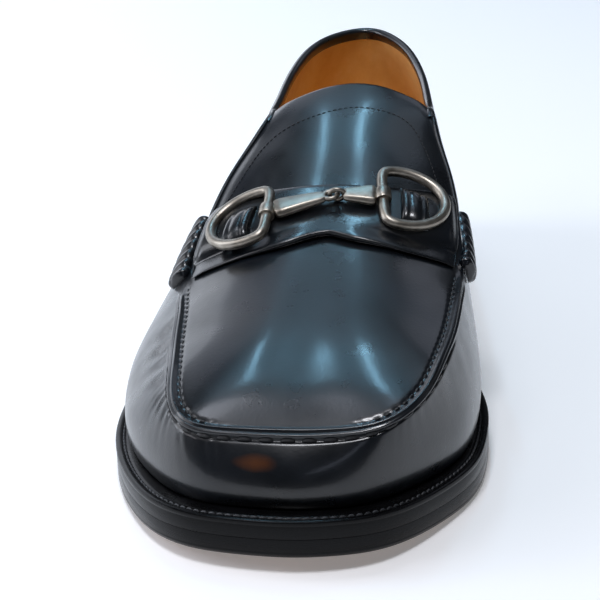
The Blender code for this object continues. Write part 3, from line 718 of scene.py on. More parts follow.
def vampMesh():
    column = places[:, None]
    t, offsets = rowsByLength(lambda t: wallPoint(column + 0 * t[None], 1 - t[None] + 0 * column), nearRows, 22)
    spots = column + 0 * t
    base = wallPoint(spots, 1 - t)
    normals = -gridNormals(base, closeN=True)
    outDir = outward(places)
    seamUp = seamDirection(places)
    if (normals[:, 5] * outDir).sum(-1).mean() < 0:
        normals = -normals
    blend = smoothStep(0.0, 0.0030, offsets)[..., None]
    direction = unit(seamUp[:, None] * (1 - blend) + normals * blend)
    rise = relief(spots, -offsets, base)
    skin = base + direction * rise[..., None]
    turnIn = []  # lasting margin, turned in under the foot
    for inset in (0.0006, 0.0016, 0.0030):
        row = skin[:, -1] - outDir * inset
        row[:, 2] = skin[:, -1, 2] - min(inset, 0.0003) * 0.5
        turnIn.append(row)
    skin = np.concatenate([skin, np.stack(turnIn, 1)], 1)
    n, m = skin.shape[:2]
    mesh = meshOf("vampCalf", toWorld(skin.reshape(-1, 3)), gridFaces(n, m, closeN=True)[:, ::-1])
    return mesh


vampShape = vampMesh()
vamp = finish("vampCalf", vampShape, calf)
print("vamp", len(vampShape.polygons))


def apronMesh():
    half = places[places <= tongueRow + 1e-9]
    if half[-1] < tongueRow - 1e-6:
        half = np.append(half, float(tongueRow))
    spots = np.concatenate([-half[:0:-1], half])
    column = spots[:, None]
    t, offsets = rowsByLength(lambda t: crownPoint(column + 0 * t[None], 1 - t[None] + 0 * column),
                              nearRows[:19], 20)
    grid = column + 0 * t
    base = crownPoint(grid, 1 - t)
    alongDir = np.gradient(base, axis=0)
    rowDir = np.gradient(base, axis=1)
    normals = unit(np.cross(rowDir, alongDir))
    normals = normals * np.sign(normals[..., 2:])
    # the middle row folds onto itself: take its direction from the rows beside it
    middle = len(spots) // 2
    normals[:, -1] = 0
    side = unit(normals[:, -2] + normals[::-1, -2])
    normals[:, -1] = side
    seamNormal = seamDirection(spots)
    blend = smoothStep(0.0, 0.0030, offsets)[..., None]
    direction = unit(seamNormal[:, None] * (1 - blend) + normals * blend)
    rise = relief(grid, offsets, base)
    skin = base + direction * rise[..., None]
    skin[:, -1] = (skin[:, -1] + skin[::-1, -1]) / 2
    n, m = skin.shape[:2]
    mesh = meshOf("apronCalf", toWorld(skin.reshape(-1, 3)), gridFaces(n, m))
    recalc(mesh, merge=0.00002)
    if sum(face.normal.z for face in mesh.polygons) < 0:
        mesh.flip_normals()
    return mesh


apronShape = apronMesh()
apron = finish("apronCalf", apronShape, calf)
print("apron", len(apronShape.polygons))

for piece in (vamp, apron):
    wall = piece.modifiers.new("thickness", "SOLIDIFY")
    wall.thickness = shoe["calf"]
    wall.offset = -1.0
    applyAll(piece)


def liningMesh():  # wall and crown of the inside, a little in from the calf
    step = 1 / 5
    count = int(rounds / step)
    spots = np.arange(count) * step
    heights = np.array([0.0, 0.06, 0.14, 0.24, 0.36, 0.48, 0.6, 0.7, 0.8, 0.88, 0.94, 0.975, 1.0])
    base = wallPoint(spots[:, None] + 0 * heights[None], heights[None] + 0 * spots[:, None])
    normals = gridNormals(base, closeN=True)
    if (normals[:, 6] * outward(spots)).sum(-1).mean() < 0:
        normals = -normals
    lift = seamDirection(spots)
    normals[:, -1] = lift
    normals[:, -2] = unit(normals[:, -2] + 0.6 * lift)
    underCrown = 1 - smoothStep(11.2, 12.0, sectionOf(spots))
    deep = shoe["calf"] + 0.0002 + 0.0008 * smoothStep(0.8, 1.0, heights)[None] * underCrown[:, None]
    wall = base - normals * deep[..., None]
    verts = list(wall.reshape(-1, 3))
    faces = [list(f) for f in gridFaces(*wall.shape[:2], closeN=True)]
    last = int(tongueRow / step)
    shares = [0.95, 0.84, 0.66, 0.46, 0.24]
    middles = {}
    rows = {}
    for k in range(-last, last + 1):
        place = np.array([k * step])
        below = shoe["calf"] + 0.0009 - 0.0007 * (abs(k) > last - 4)
        column = []
        for share in shares:
            point = crownPoint(place, np.array([share]))[0]
            column.append(len(verts))
            frameUp = skinFrame(np.array([abs(k) * step]), np.array([share * (-1 if k >= 0 else 1)]))[3][0]
            verts.append(point - frameUp * below)
        if abs(k) not in middles:
            middles[abs(k)] = len(verts)
            frameUp = skinFrame(np.array([abs(k) * step + 0.01]), np.array([-0.02]))[3][0]
            verts.append(crest(np.array([abs(k) * step]))[0] - frameUp * below)
        rows[k] = [(k % count) * len(heights) + len(heights) - 1, *column, middles[abs(k)]]
    for k in range(-last, last):
        here, after = rows[k], rows[k + 1]
        for r in range(len(shares) + 1):
            faces.append([here[r], here[r + 1], after[r + 1], after[r]])
    mesh = meshOf("quarterLining", toWorld(np.array(verts)), faces)
    recalc(mesh)
    return mesh


liningPiece = finish("quarterLining", liningMesh(), lining)
wall = liningPiece.modifiers.new("thickness", "SOLIDIFY")
wall.thickness = shoe["lining"]
wall.offset = -1.0
applyAll(liningPiece)


def bindingLoops():  # folded calf binding over the collar's edge
    spots = np.linspace(tongueRow - 0.35, rounds - tongueRow + 0.35, 220)
    top = rail(spots)
    near = wallPoint(spots, np.full(len(spots), 0.95))
    down = unit(near - top)
    along = unit(np.gradient(top, axis=0))
    out = unit(np.cross(down, along))
    out = out * np.sign((out * outward(spots)).sum(-1, keepdims=True))
    half = (shoe["calf"] + shoe["lining"]) / 2 + 0.00045
    profile = []
    for angle in np.linspace(0, np.pi, 9):
        profile.append((half * math.cos(angle), -half * 0.75 * math.sin(angle)))
    profile += [(-half, 0.0012), (-half, 0.0024), (-half * 0.85, 0.0032),
                (half * 0.85, 0.0032), (half, 0.0024), (half, 0.0012)]
    loops = []
    for a, d in profile:
        loops.append(top + out * (a - half + 0.0003) + down * (d + 0.0004))
    return np.stack(loops, 1)


binding = strip("toplineBinding", bindingLoops(), calf)


def onSkinBy(place, offset):  # walks from the seam along the crown or down the wall by a real distance
    place = np.asarray(place, float)
    t = np.linspace(0, 0.5, 160)
    if offset >= 0:
        dense = crownPoint(place[:, None] + 0 * t[None], 1 - t[None] + 0 * place[:, None])
    else:
        dense = wallPoint(place[:, None] + 0 * t[None], 1 - t[None] + 0 * place[:, None])
    paces = np.linalg.norm(np.diff(dense, axis=1), axis=2)
    run = np.concatenate([np.zeros((len(place), 1)), np.cumsum(paces, axis=1)], 1)
    picked = np.array([np.interp(abs(offset), r, t) for r in run])
    share = 1 - picked
    section = sectionOf(place)
    side = np.where((place % rounds) < rounds / 2, -1.0, 1.0)
    across = side * (share if offset >= 0 else 2 - share)
    return skinFrame(section, across)


def seamStitches():
    shapes = []
    pitch, length = seam["stitchPitch"], seam["stitchLength"]
    limit = abs(runAt(np.array([5.4]))[0])
    count = int(limit / pitch)
    for k in range(-count, count + 1):
        centre = k * pitch
        ends = placeAt(np.array([centre - length / 2, centre + length / 2]))
        point, _, _, upDir = onSkinBy(ends, seam["outer"])
        shapes.append(stitchShape(point[0], point[1], unit(upDir.mean(0)), 0.0012, 0.0006, sink=0.9))
    vampRow = joinShapes("vampSeamStitches", shapes, blackThread)
    shapes = []
    pitch = seam["innerPitch"]
    start, stop = abs(runAt(np.array([2.1]))[0]), abs(runAt(np.array([7.75]))[0])
    for sign in (-1, 1):
        for centre in np.arange(start, stop, pitch):
            ends = placeAt(sign * np.array([centre - 0.34 * pitch, centre + 0.34 * pitch]))
            point, _, _, upDir = onSkinBy(ends, seam["inner"])
            shapes.append(stitchShape(point[0], point[1], unit(upDir.mean(0)), 0.0008, 0.0004, sink=1.5))
    apronRow = joinShapes("apronSeamStitches", shapes, blackThread)
    return vampRow, apronRow


vampStitches, apronStitches = seamStitches()

# tongue stitch line, as row of the last and share of the crown
tongueLine = np.array([(9.35, -0.90), (10.0, -0.83), (10.75, -0.73), (11.02, -0.45), (11.15, -0.15),
                       (11.2, 0.15), (11.18, 0.42), (10.95, 0.70), (10.1, 0.82), (9.35, 0.87)])


def lineStitches(name, line, pitch, length, width, height, material):
    at = np.linspace(0, len(line) - 1, 400)
    rows = splineThrough(line[:, 0], at, closed=False)
    shares = splineThrough(line[:, 1], at, closed=False)
    point, _, _, upDir = skinFrame(rows, shares)
    run = np.concatenate([[0], np.cumsum(np.linalg.norm(np.diff(point, axis=0), axis=1))])
    shapes = []
    for centre in np.arange(pitch, run[-1] - pitch, pitch):
        ends = [np.array([np.interp(centre + d, run, point[:, c]) for c in range(3)])
                for d in (-length / 2, length / 2)]
        up = unit(np.array([np.interp(centre, run, upDir[:, c]) for c in range(3)]))
        shapes.append(stitchShape(ends[0], ends[1], up, width, height, sink=0.2))
    return joinShapes(name, shapes, material)


tongueStitches = lineStitches("tongueStitches", tongueLine, 0.0019, 0.0014, 0.00036, 0.00018, blackThread)
print("seams stitched")


strapRows = np.array([
    (-1.00, 7.90, 9.30),
    (-0.66, 7.55, 9.22),
    (-0.33, 7.36, 9.05),
    (-0.03, 7.50, 8.98),
    (0.20, 7.42, 9.00),
    (0.57, 7.52, 9.18),
    (1.00, 7.85, 9.50),
])
strap = {"thickness": 0.0026, "frontReach": 0.935, "rearReach": 0.985}
# across the strap from its front edge; lift of a plain section, and of one through a raised wing
strapSection = np.array([
    (0.0, 0.0, 0.0), (0.0, 0.55, 0.25), (0.006, 0.8, 0.33), (0.02, 0.95, 0.37), (0.06, 1.0, 0.38),
    (0.12, 1.0, 0.38), (0.19, 1.0, 0.38), (0.235, 1.0, 0.42), (0.25, 1.0, 0.72), (0.28, 1.0, 1.12),
    (0.34, 1.0, 1.48), (0.44, 1.0, 1.72), (0.58, 1.0, 1.78), (0.74, 1.0, 1.66), (0.88, 1.0, 1.40),
    (0.95, 0.99, 1.15), (0.985, 0.85, 0.88), (1.0, 0.6, 0.55), (1.0, 0.0, 0.0),
])


def strapLoops():
    place = np.linspace(-1, 1, 121)
    front = softened(steadyCurve(strapRows, 1, place), 2.5)
    rear = softened(steadyCurve(strapRows, 2, place), 2.5)
    wing = smoothStep(0.16, 0.80, np.abs(place))
    shoulder = 1 - 0.55 * smoothStep(0.90, 1.0, np.abs(place))
    profile = []
    for share, plain, winged in strapSection:
        lift = (plain * (1 - wing) + winged * wing) * shoulder
        section = front + (rear - front) * share
        across = place * (strap["frontReach"] + (strap["rearReach"] - strap["frontReach"]) * share)
        point, _, _, up = skinFrame(section, across)
        profile.append(point + up * (shoe["gap"] + strap["thickness"] * lift)[:, None])
    for share in (0.8, 0.6, 0.4, 0.2):
        section = front + (rear - front) * share
        across = place * (strap["frontReach"] + (strap["rearReach"] - strap["frontReach"]) * share)
        point, _, _, up = skinFrame(section, across)
        profile.append(point + up * shoe["gap"])
    return np.stack(profile, 1)


strapPiece = strip("saddleStrap", strapLoops(), strapCalf, 60)
subdivide = strapPiece.modifiers.new("smooth", "SUBSURF")
subdivide.levels = subdivide.render_levels = 1
applyAll(strapPiece)

rings = {"lateral": (8.25, -0.60, 8), "medial": (8.60, 0.60, 14)}
rolls = {"lateral": (8.82, -1.10, -0.05), "medial": (8.78, 1.11, 0.06)}
roll = {"width": 0.0092, "height": 0.0034, "length": 0.0310, "pitch": 0.0046, "thong": 0.0010,
        "slant": 0.0060}
keeper = {"width": 0.0090, "thickness": 0.0034, "length": 0.0168}


# point on a pad: share along it, side across it from -0.5 to 0.5, lift in metres
def padPoint(middle, base, length, width, share, side, lift):
    section, across, turn = middle
    step = 0.05
    here = np.array([section])
    pace = np.linalg.norm(skinPoint(here + step, across) - skinPoint(here - step, across)) / (2 * step)
    row = section + (share - 0.5) * length / pace
    centre = across + turn * (row - section)
    stretch = np.linalg.norm(skinPoint(row, centre + step) - skinPoint(row, centre - step), axis=-1) / (2 * step)
    point, _, _, up = skinFrame(row, centre + side * width / stretch)
    return point + up * (base + lift)[..., None]


def makeRoll(side):  # strap end rolled and whipped with flat thongs that lie aslant
    middle = rolls[side]
    run = np.linspace(0, 1, 145)
    gap = shoe["gap"] + 0 * run
    angle = np.linspace(0, np.pi, 25)
    size = np.clip(np.minimum(run, 1 - run) / 0.05, 0, 1) ** 0.5 * 0.35 + 0.65
    lean = -1 if side == "lateral" else 1
    loops = []
    for a in angle:
        wide = -0.5 * math.cos(a)
        turn = (run * roll["length"] + lean * roll["slant"] * wide) / roll["pitch"]
        ridge = np.abs(np.cos(np.pi * turn)) ** 0.6
        ridge = ridge * smoothStep(0.0, 0.04, np.minimum(run, 1 - run))
        lift = (roll["height"] * 0.72 + roll["thong"] * ridge) * math.sin(a) ** 0.7
        wider = 0.93 + 0.06 * ridge
        loops.append(padPoint(middle, gap, roll["length"], roll["width"], run, wide * size * wider, lift * size))
    for share in (0.6, 0.2, -0.2, -0.6):
        loops.append(padPoint(middle, gap, roll["length"], roll["width"], run, 0.42 * size * share, 0 * run))
    return strip(f"whippedRoll_{side}", np.stack(loops, 1), strapCalf, 60)


rollPieces = {side: makeRoll(side) for side in rolls}


def makeKeeper(side):
    section, across, _ = rings[side]
    base = strap["thickness"] + 2 * shoe["gap"]
    ends = np.array([0, 0.03, 0.09, 0.18, 0.3, 0.42, 0.5, 0.58, 0.7, 0.82, 0.91, 0.97, 1.0])
    rise = np.array([0.1, 0.45, 0.75, 0.95, 1.08, 1.12, 1.12, 1.12, 1.08, 0.95, 0.75, 0.45, 0.1])
    profile = [(-0.5, 0.0), (-0.5, 0.5), (-0.46, 0.8), (-0.38, 0.95), (-0.28, 0.98), (-0.22, 0.90),
               (-0.16, 0.98), (0.0, 1.03), (0.16, 0.98), (0.22, 0.90), (0.28, 0.98), (0.38, 0.95),
               (0.46, 0.8), (0.5, 0.5), (0.5, 0.0), (0.2, 0.0), (-0.2, 0.0)]
    loops = [padPoint((section, across, 0.0), base + 0 * ends, keeper["length"], keeper["width"], ends,
                      side_ + 0 * ends, keeper["thickness"] * lift * rise) for side_, lift in profile]
    return strip(f"ringKeeper_{side}", np.stack(loops, 1), strapCalf, 60)


keeperPieces = {side: makeKeeper(side) for side in rings}
print("strap made")


bit = {
    "wire": 0.0016, "wireShown": 0.00175, "ringLength": 0.0255, "ringWidth": 0.0210, "meet": 115,
    "linkWidth": 0.0086, "linkThickness": 0.0034, "collarWall": 0.0008, "collarLength": 0.0048,
    "eye": 0.0021, "eyeWire": 0.00075,
}


def axesMatrix(x, y, z, origin):
    matrix = Matrix.Identity(4)
    for index, axis in enumerate((x, y, z, origin)):
        matrix.col[index][:3] = axis
    return matrix


def ringPlace(side):
    section, across, lean = rings[side]
    outwards = math.copysign(1, across)
    up = skinFrame(np.array([section]), np.array([across]))[3][0]
    up = Vector(up)
    sideways = Vector((0, 1, 0)).cross(up).normalized()
    sideways.rotate(Matrix.Rotation(math.radians(lean) * outwards, 3, up).to_quaternion())
    lengthways = up.cross(sideways)
    step = 0.05
    row = np.array([section])
    stretch = np.linalg.norm(skinPoint(row, across + step) - skinPoint(row, across - step)) / (2 * step)
    barAcross = across - outwards * bit["ringWidth"] / 2 / stretch
    lift = strap["thickness"] + 3 * shoe["gap"] + bit["wire"] + bit["collarWall"]
    point, _, _, normal = skinFrame(np.array([section]), np.array([barAcross]))
    bar = Vector(toWorld(point[0] + normal[0] * lift))
    origin = bar + sideways * outwards * bit["ringWidth"] / 2
    return axesMatrix(sideways, lengthways, up, origin)


def makeRing(side):  # closed D ring: straight bar to the middle, deep bow outwards
    outwards = math.copysign(1, rings[side][1])
    points = []
    meet = math.radians(bit["meet"])  # where the bow meets the bar
    wide = bit["ringWidth"] / (1 - math.cos(meet))
    for angle in np.linspace(-meet, meet, 49):
        points.append((outwards * (bit["ringWidth"] / 2 - wide * (1 - math.cos(angle))),
                       bit["ringLength"] / 2 * math.sin(angle), 0))
    barLength = bit["ringLength"] * math.sin(meet)
    for share in np.linspace(0, 1, 13)[1:-1]:
        points.append((-outwards * bit["ringWidth"] / 2, barLength * (0.5 - share), 0))
    points = np.array(points)
    for _ in range(5):  # eases the two corners
        points = 0.5 * points + 0.25 * (np.roll(points, 1, 0) + np.roll(points, -1, 0))
    verts, faces = tube(points, bit["wireShown"], 16, closed=True)
    matrix = np.array(ringPlace(side))
    verts = verts @ matrix[:3, :3].T + matrix[:3, 3]
    return joinShapes(f"bitRing_{side}", [(verts, faces)], nickel, world=True)


ringPieces = {side: makeRing(side) for side in rings}


def makeLink(side):
    section = np.array([(rings["lateral"][0] + rings["medial"][0]) / 2])
    point, _, _, up = skinFrame(section, np.array([(rings["lateral"][1] + rings["medial"][1]) / 2]))
    up = Vector(up[0])
    centre = Vector(toWorld(point[0])) + up * (strap["thickness"] + 2 * shoe["gap"] + bit["eye"] + bit["eyeWire"])
    outwards = math.copysign(1, rings[side][1])
    ring = ringPlace(side)
    bar = ring @ Vector((-outwards * bit["ringWidth"] / 2, 0, 0))
    forward = (centre - bar).normalized()
    along = ring.col[1].xyz
    barAxis = along.copy()
    along = (along - forward * along.dot(forward)).normalized()
    if forward.cross(along).dot(up) < 0:
        along = -along
    place = axesMatrix(forward, along, forward.cross(along), bar)
    length = (centre - bar).length
    eyeMiddle = length - bit["eye"] / 2
    start = bit["wire"] + shoe["gap"] + bit["collarWall"] / 2
    end = eyeMiddle - bit["eye"]
    loops = []
    shares = np.array([0, 0.04, 0.14, 0.3, 0.5, 0.7, 0.86, 0.96, 1.0])
    width = np.array([0.72, 0.94, 1.0, 0.93, 0.82, 0.72, 0.64, 0.58, 0.48])
    depth = np.array([0.72, 0.95, 1.0, 1.0, 0.95, 0.86, 0.75, 0.66, 0.55])
    half = np.array([(1.0, 0.0), (0.97, 0.30), (0.74, 0.92), (0.62, 1.0),
                     (-0.62, 1.0), (-0.74, 0.92), (-0.97, 0.30), (-1.0, 0.0)])
    full = np.concatenate([half, np.stack([half[-2:0:-1, 0], -half[-2:0:-1, 1]], 1)])
    for share, w, d in zip(shares, width, depth):
        x = start + (end - start) * share
        loops.append([(x, c * w * bit["linkWidth"] / 2, h * d * bit["linkThickness"] / 2) for c, h in full])
    loops = np.array(loops)
    n, m = loops.shape[:2]
    faces = [list(f) for f in gridFaces(n, m, closeM=True)] + [list(range(m)), list(range((n - 1) * m, n * m))]
    shapes = [(loops.reshape(-1, 3), faces)]
    axis = np.array(place.to_3x3().inverted() @ barAxis)  # collar round the ring's bar
    inner, outer = bit["wire"] + shoe["gap"] * 0.5, bit["wire"] + shoe["gap"] + bit["collarWall"]
    sideA = unit(np.cross(axis, [0, 0, 1.0]))
    sideB = np.cross(axis, sideA)
    angle = np.linspace(0, 2 * np.pi, 33)[:-1]
    section = [(inner, -0.48), (outer * 0.93, -0.5), (outer, -0.40), (outer * 1.02, 0.0), (outer, 0.40),
               (outer * 0.93, 0.5), (inner, 0.48)]
    collar = np.array([[(np.cos(a) * sideA + np.sin(a) * sideB) * r + axis * h * bit["collarLength"]
                        for r, h in section] for a in angle])
    collarFaces = [list(f) for f in gridFaces(32, len(section), closeN=True, closeM=True)]
    shapes.append((collar.reshape(-1, 3), collarFaces))
    flat = side == "lateral"
    circle = np.array([(eyeMiddle + math.cos(a) * bit["eye"] * 1.1, math.sin(a) * bit["eye"] if flat else 0,
                        0 if flat else math.sin(a) * bit["eye"]) for a in np.linspace(0, 2 * np.pi, 29)[:-1]])
    shapes.append(tube(circle, bit["eyeWire"] * 1.08, 10, closed=True))
    matrix = np.array(place)
    shapes = [(v @ matrix[:3, :3].T + matrix[:3, 3], f) for v, f in shapes]
    return joinShapes(f"bitLink_{side}", shapes, nickel, 40, world=True)


linkPieces = {side: makeLink(side) for side in rings}
print("bit made")


edge = {"groove": 0.0005, "taper": 0.0020, "breast": 0.0035, "topPiece": 0.0060, "stitchPitch": 0.0025,
        "stitchIn": 0.0026}
soleSpots = np.linspace(0, rounds, 541)[:-1]


# rows: inset and height above the underside, from the bottom up
def plate(name, rows, material, bottom=None):
    out = outward(soleSpots)
    edgeLine = outline(soleSpots)
    loops = []
    for inset, height in rows:
        loop = edgeLine - out * inset
        loop[:, 2] = underside(loop[:, 1]) + height
        loops.append(loop)
    loops = np.stack(loops, 0)
    n, m = loops.shape[:2]
    faces = [list(f) for f in gridFaces(n, m, closeM=True)]
    half = m // 2
    materials = [0] * len(faces)
    for base in (0, (n - 1) * m):
        for k in range(half):
            corners = [base + k, base + k + 1, base + (-k - 1) % m, base + (-k) % m]
            faces.append(list(dict.fromkeys(corners)))
            materials.append(1 if base == 0 and bottom else 0)
    mesh = meshOf(name, toWorld(loops.reshape(-1, 3)), faces)
    recalc(mesh)
    piece = finish(name, mesh, [material, bottom] if bottom else material, 35)
    mesh.polygons.foreach_set("material_index", materials)
    return piece


outsoleRows = [(0.0016, 0.0), (0.0009, 0.0001), (0.0004, 0.0005), (0.0001, 0.0012), (0.0, 0.0016),
               (0.00006, 0.0018), (0.00006, 0.0019), (0.0, 0.0021), (0.0, 0.0040), (0.0, 0.0058),
               (0.00005, 0.00597), (0.0002, 0.0060), (0.004, 0.0060)]
outsole = plate("outsoleLeather", outsoleRows, edgeInk, soleLeather)
weltBase = shoe["outsole"] + 0.00005
topZ = shoe["outsole"] + shoe["gap"] + shoe["welt"]
weltRows = [(0.004, weltBase), (0.0002, weltBase), (0.00005, weltBase + 0.00003), (0.0, weltBase + 0.0002),
            (0.0, topZ - 0.0020), (0.00008, topZ - 0.0018), (0.00008, topZ - 0.0017), (0.0, topZ - 0.0015),
            (-0.0001, topZ - 0.0009), (0.0001, topZ - 0.0004), (0.0006, topZ - 0.0001), (0.0011, topZ),
            (0.0018, topZ - 0.0001), (0.0022, topZ - 0.00045), (0.0030, topZ - 0.00045),
            (0.0034, topZ - 0.0001), (0.0040, topZ)]
welt = plate("weltLeather", weltRows, edgeInk)


def weltStitches():
    fine = np.linspace(0, rounds, 4001)
    line = outline(fine) - outward(fine) * edge["stitchIn"]
    line[:, 2] = underside(line[:, 1]) + topZ - 0.00030
    run = np.concatenate([[0], np.cumsum(np.linalg.norm(np.diff(line, axis=0), axis=1))])
    count = int(run[-1] / edge["stitchPitch"])
    shapes = []
    for k in range(count):
        centre = (k + 0.5) * run[-1] / count
        ends = [np.array([np.interp(centre + d, run, line[:, c]) for c in range(3)])
                for d in (-0.00095, 0.00095)]
        shapes.append(stitchShape(ends[0], ends[1], np.array([0, 0, 1.0]), 0.0007, 0.0004, sink=0.5))
    return joinShapes("weltStitches", shapes, weltThread)


weltStitch = weltStitches()


def heelPart(name, rows, material):
    fine = np.linspace(0, rounds, 2881)
    back = fine[outline(fine)[:, 1] >= shoe["length"] - shoe["heelLength"]]
    back = np.interp(np.linspace(0, 1, 181), np.linspace(0, 1, len(back)), back)
    out = outward(back)
    loops = []
    for inset, height in rows:
        taper = edge["groove"] + edge["taper"] * (1 - height / shoe["heelHeight"]) + inset
        loop = outline(back) - out * taper
        breast = loop[-1] + (loop[0] - loop[-1]) * np.linspace(0, 1, 25)[1:-1, None]
        front = shoe["length"] - shoe["heelLength"] + max(inset, 0)
        breast[:, 1] = front + edge["breast"] * np.sin(np.pi * np.linspace(0, 1, 25)[1:-1])
        loop[0, 1] = loop[-1, 1] = front
        loop = np.concatenate([loop, breast])
        loop[:, 2] = height
        loops.append(loop)
    loops = np.stack(loops)
    n, m = loops.shape[:2]
    faces = [list(f) for f in gridFaces(n, m, closeM=True)] + [list(range(m)), list(range((n - 1) * m, n * m))]
    mesh = meshOf(name, toWorld(loops.reshape(-1, 3)), faces)
    recalc(mesh)
    return finish(name, mesh, material, 35)


def liftRows(low, high, lifts):
    rows = [(0.0006, low), (0.0, low + 0.0005)]
    for k in range(1, lifts):
        z = low + (high - low) * k / lifts
        rows += [(0.0, z - 0.00025), (0.00028, z - 0.00008), (0.00028, z + 0.00008), (0.0, z + 0.00025)]
    return rows + [(0.0, high - 0.0004), (0.0004, high)]


heelTop = shoe["heelHeight"] - shoe["gap"] * 0.3
heelStack = heelPart("heelLifts", liftRows(edge["topPiece"] + shoe["gap"], heelTop, 3), heelInk)
topPiece = heelPart("topLift", liftRows(0.0, edge["topPiece"], 1), rubber)


def sockMesh():
    spots = np.linspace(0, rounds, 181)[:-1]
    out = outward(spots)
    rows = []
    edgeLine = feather(spots) - out * (shoe["calf"] + shoe["lining"] + 0.0007)
    middle = edgeLine.copy()
    middle[:, 0] = (edgeLine[:, 0] + edgeLine[(-np.arange(len(spots))) % len(spots), 0]) / 2
    section = ((0.0, 0.0003), (0.0, 0.0024), (0.02, 0.0031), (0.10, 0.0033), (0.3, 0.0030), (0.6, 0.0026),
               (0.9, 0.0025))
    for share, dz in section:
        row = edgeLine + (middle - edgeLine) * share
        row[:, 2] = seat(row[:, 1]) + dz
        rows.append(row)
    loops = np.stack(rows)
    n, m = loops.shape[:2]
    faces = [list(f) for f in gridFaces(n, m, closeM=True)]
    for base in (0, (n - 1) * m):
        for k in range(m // 2):
            corners = [base + k, base + k + 1, base + (-k - 1) % m, base + (-k) % m]
            faces.append(list(dict.fromkeys(corners)))
    mesh = meshOf("sockLeather", toWorld(loops.reshape(-1, 3)), faces)
    recalc(mesh)
    return finish("sockLeather", mesh, lining, 50)


sock = sockMesh()
print("sole made")


standsFor = [
    (vamp, ["upper"]), (apron, ["upper"]), (liningPiece, ["upper"]), (binding, ["upper"]),
    (vampStitches, []), (apronStitches, []), (tongueStitches, []),
    (strapPiece, ["saddle_strap"]), (outsole, ["outsole"]), (welt, ["welt"]), (weltStitch, []),
    (heelStack, ["heel_stack"]), (topPiece, ["heel_top_piece"]), (sock, ["insole"]),
]
for side in rings:
    standsFor += [(rollPieces[side], [f"beefroll_{side}"]), (keeperPieces[side], [f"keeper_{side}"]),
                  (ringPieces[side], [f"bit_ring_{side}"]), (linkPieces[side], [f"bit_link_{side}"])]
for piece, names in standsFor:
    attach(piece, "root")
    if names:
        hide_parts(*names)


studio = {"floor": "#f4f4f5", "floorSize": 8.0, "glow": 0.22}
# translucent acrylic sweep, lit a little from below: pale and matt
floorMaterial, _, floorShader = newMaterial("acrylicSweep", studio["floor"], 0.6)
floorShader.inputs["Emission Color"].default_value = fromHex(studio["floor"])
floorShader.inputs["Emission Strength"].default_value = studio["glow"]
bpy.ops.mesh.primitive_plane_add(size=studio["floorSize"], location=(0, 0, -0.0001))
floor = bpy.context.object
floor.name = "floor"
floor.data.materials.append(floorMaterial)


def softbox(name, location, target, size, power, colour):
    light = bpy.data.lights.new(name, "AREA")
    light.shape = "RECTANGLE"
    light.size, light.size_y = size
    light.energy = power
    light.color = fromHex(colour)[:3]
    item = bpy.data.objects.new(name, light)
    item.location = location
    item.rotation_euler = (Vector(target) - Vector(location)).to_track_quat("-Z", "Y").to_euler()
    bpy.context.scene.collection.objects.link(item)
    return item


def striplight(name, near, far, width, power, colour):  # long narrow softbox from end to end
    near, far = Vector(near), Vector(far)
    middle = (near + far) / 2
    item = softbox(name, middle, overInstep, (width, (far - near).length), power, colour)
    lengthways = (far - near).normalized()
    back = middle - Vector(overInstep)
    back = (back - lengthways * back.dot(lengthways)).normalized()
    item.matrix_world = axesMatrix(lengthways.cross(back), lengthways, back, middle)
    return item


shoeMiddle = (0, -0.12, 0.05)
overInstep = (-0.02, 0.0, 0.06)
softbox("leftLow", (-1.55, -0.12, 0.44), shoeMiddle, (0.62, 0.62), 7.0, "#eef4ff")
softbox("leftHigh", (-1.29, -0.12, 0.99), shoeMiddle, (0.62, 0.62), 4.6, "#f6f8ff")
softbox("leftFront", (-1.12, -0.77, 0.99), shoeMiddle, (0.62, 0.62), 2.6, "#fbf8ff")
softbox("leftRear", (-1.34, 0.66, 0.44), shoeMiddle, (0.62, 0.62), 1.3, "#eef4ff")
softbox("rearLeft", (-0.78, 1.12, 0.42), shoeMiddle, (1.1, 0.7), 4.2, "#eef4ff")
softbox("rear", (-0.52, 1.08, 0.99), shoeMiddle, (0.8, 0.6), 1.0, "#e4ecff")
softbox("rearRight", (0.42, 1.05, 0.98), shoeMiddle, (0.4, 0.4), 0.4, "#e4ecff")
softbox("overRear", (-0.10, 0.86, 1.36), shoeMiddle, (0.75, 0.3), 0.3, "#cfe3fa")
softbox("overLeft", (-0.70, 0.0, 1.30), overInstep, (0.4, 0.4), 0.5, "#e4eefa")
softbox("overRight", (0.36, 0.58, 1.30), overInstep, (0.35, 0.35), 0.35, "#d6e6fa")
softbox("overToeLateral", (-0.36, 0.0, 1.30), shoeMiddle, (0.24, 0.24), 1.3, "#eef2ff")
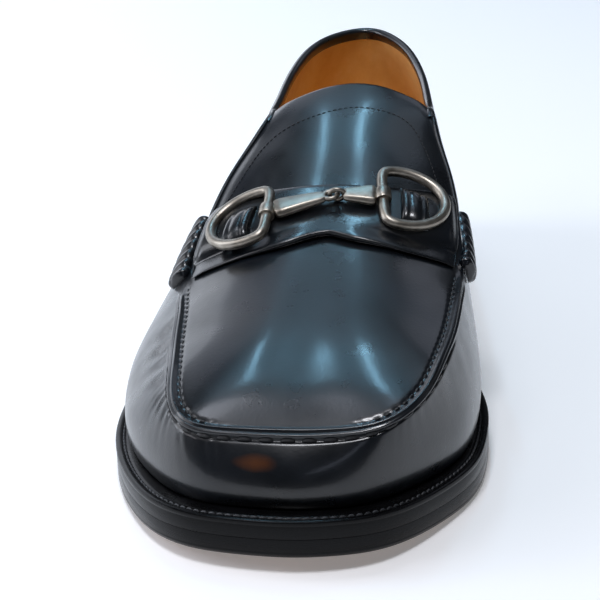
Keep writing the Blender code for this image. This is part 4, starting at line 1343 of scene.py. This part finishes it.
softbox("overToeMedial", (0.06, 0.14, 1.30), shoeMiddle, (0.20, 0.16), 0.22, "#e6ecff")
softbox("overCollar", (-0.05, -0.58, 1.35), overInstep, (0.35, 0.35), 10.5, "#f8f9ff")
softbox("front", (0.28, -1.42, 0.66), shoeMiddle, (0.30, 0.10), 0.16, "#dfe8ff")
striplight("streakLateral", (-0.28, 0.28, 1.30), (-0.37, 0.80, 1.30), 0.045, 2.0, "#98d2f2")
striplight("streakMedial", (-0.02, 0.26, 1.30), (-0.04, 0.78, 1.30), 0.045, 2.3, "#98d2f2")
softbox("rightFill", (1.30, 0.20, 0.80), shoeMiddle, (0.6, 0.6), 0.20, "#ffffff")

world = bpy.data.worlds.new("studio")
bpy.context.scene.world = world
world.use_nodes = True
background = world.node_tree.nodes["Background"]
background.inputs["Color"].default_value = fromHex("#dfe6f2")
background.inputs["Strength"].default_value = 0.05

view = {
    "photoFocal": 1000.0, "centre": (298.0, 300.0),  # of the photo, in its pixels
    "position": (0.0659, -0.7154, 0.2586), "pitch": 15.8, "yaw": 1.0,
    "aim": (191.0, 399.0), "frame": 330.0,  # middle and width of this picture, in the photo's pixels
}
cameraData = bpy.data.cameras.new("camera")
camera = bpy.data.objects.new("camera", cameraData)
bpy.context.scene.collection.objects.link(camera)
cameraData.sensor_width = 36.0
turned = Matrix.Rotation(math.radians(view["yaw"]), 3, "Z")
turned = turned @ Matrix.Rotation(math.radians(90 - view["pitch"]), 3, "X")
right = (view["aim"][0] - view["centre"][0]) / view["photoFocal"]
down = (view["aim"][1] - view["centre"][1]) / view["photoFocal"]
toAim = Vector((right, -down, -1))
swing = Vector((0, 0, -1)).rotation_difference(toAim.normalized()).to_matrix()
camera.matrix_world = Matrix.Translation(view["position"]) @ (turned @ swing).to_4x4()
cameraData.lens = 36.0 * view["photoFocal"] * toAim.length / view["frame"]
cameraData.clip_start = 0.01
bpy.context.scene.camera = camera
bpy.context.scene.view_settings.view_transform = "Standard"
print("studio set")
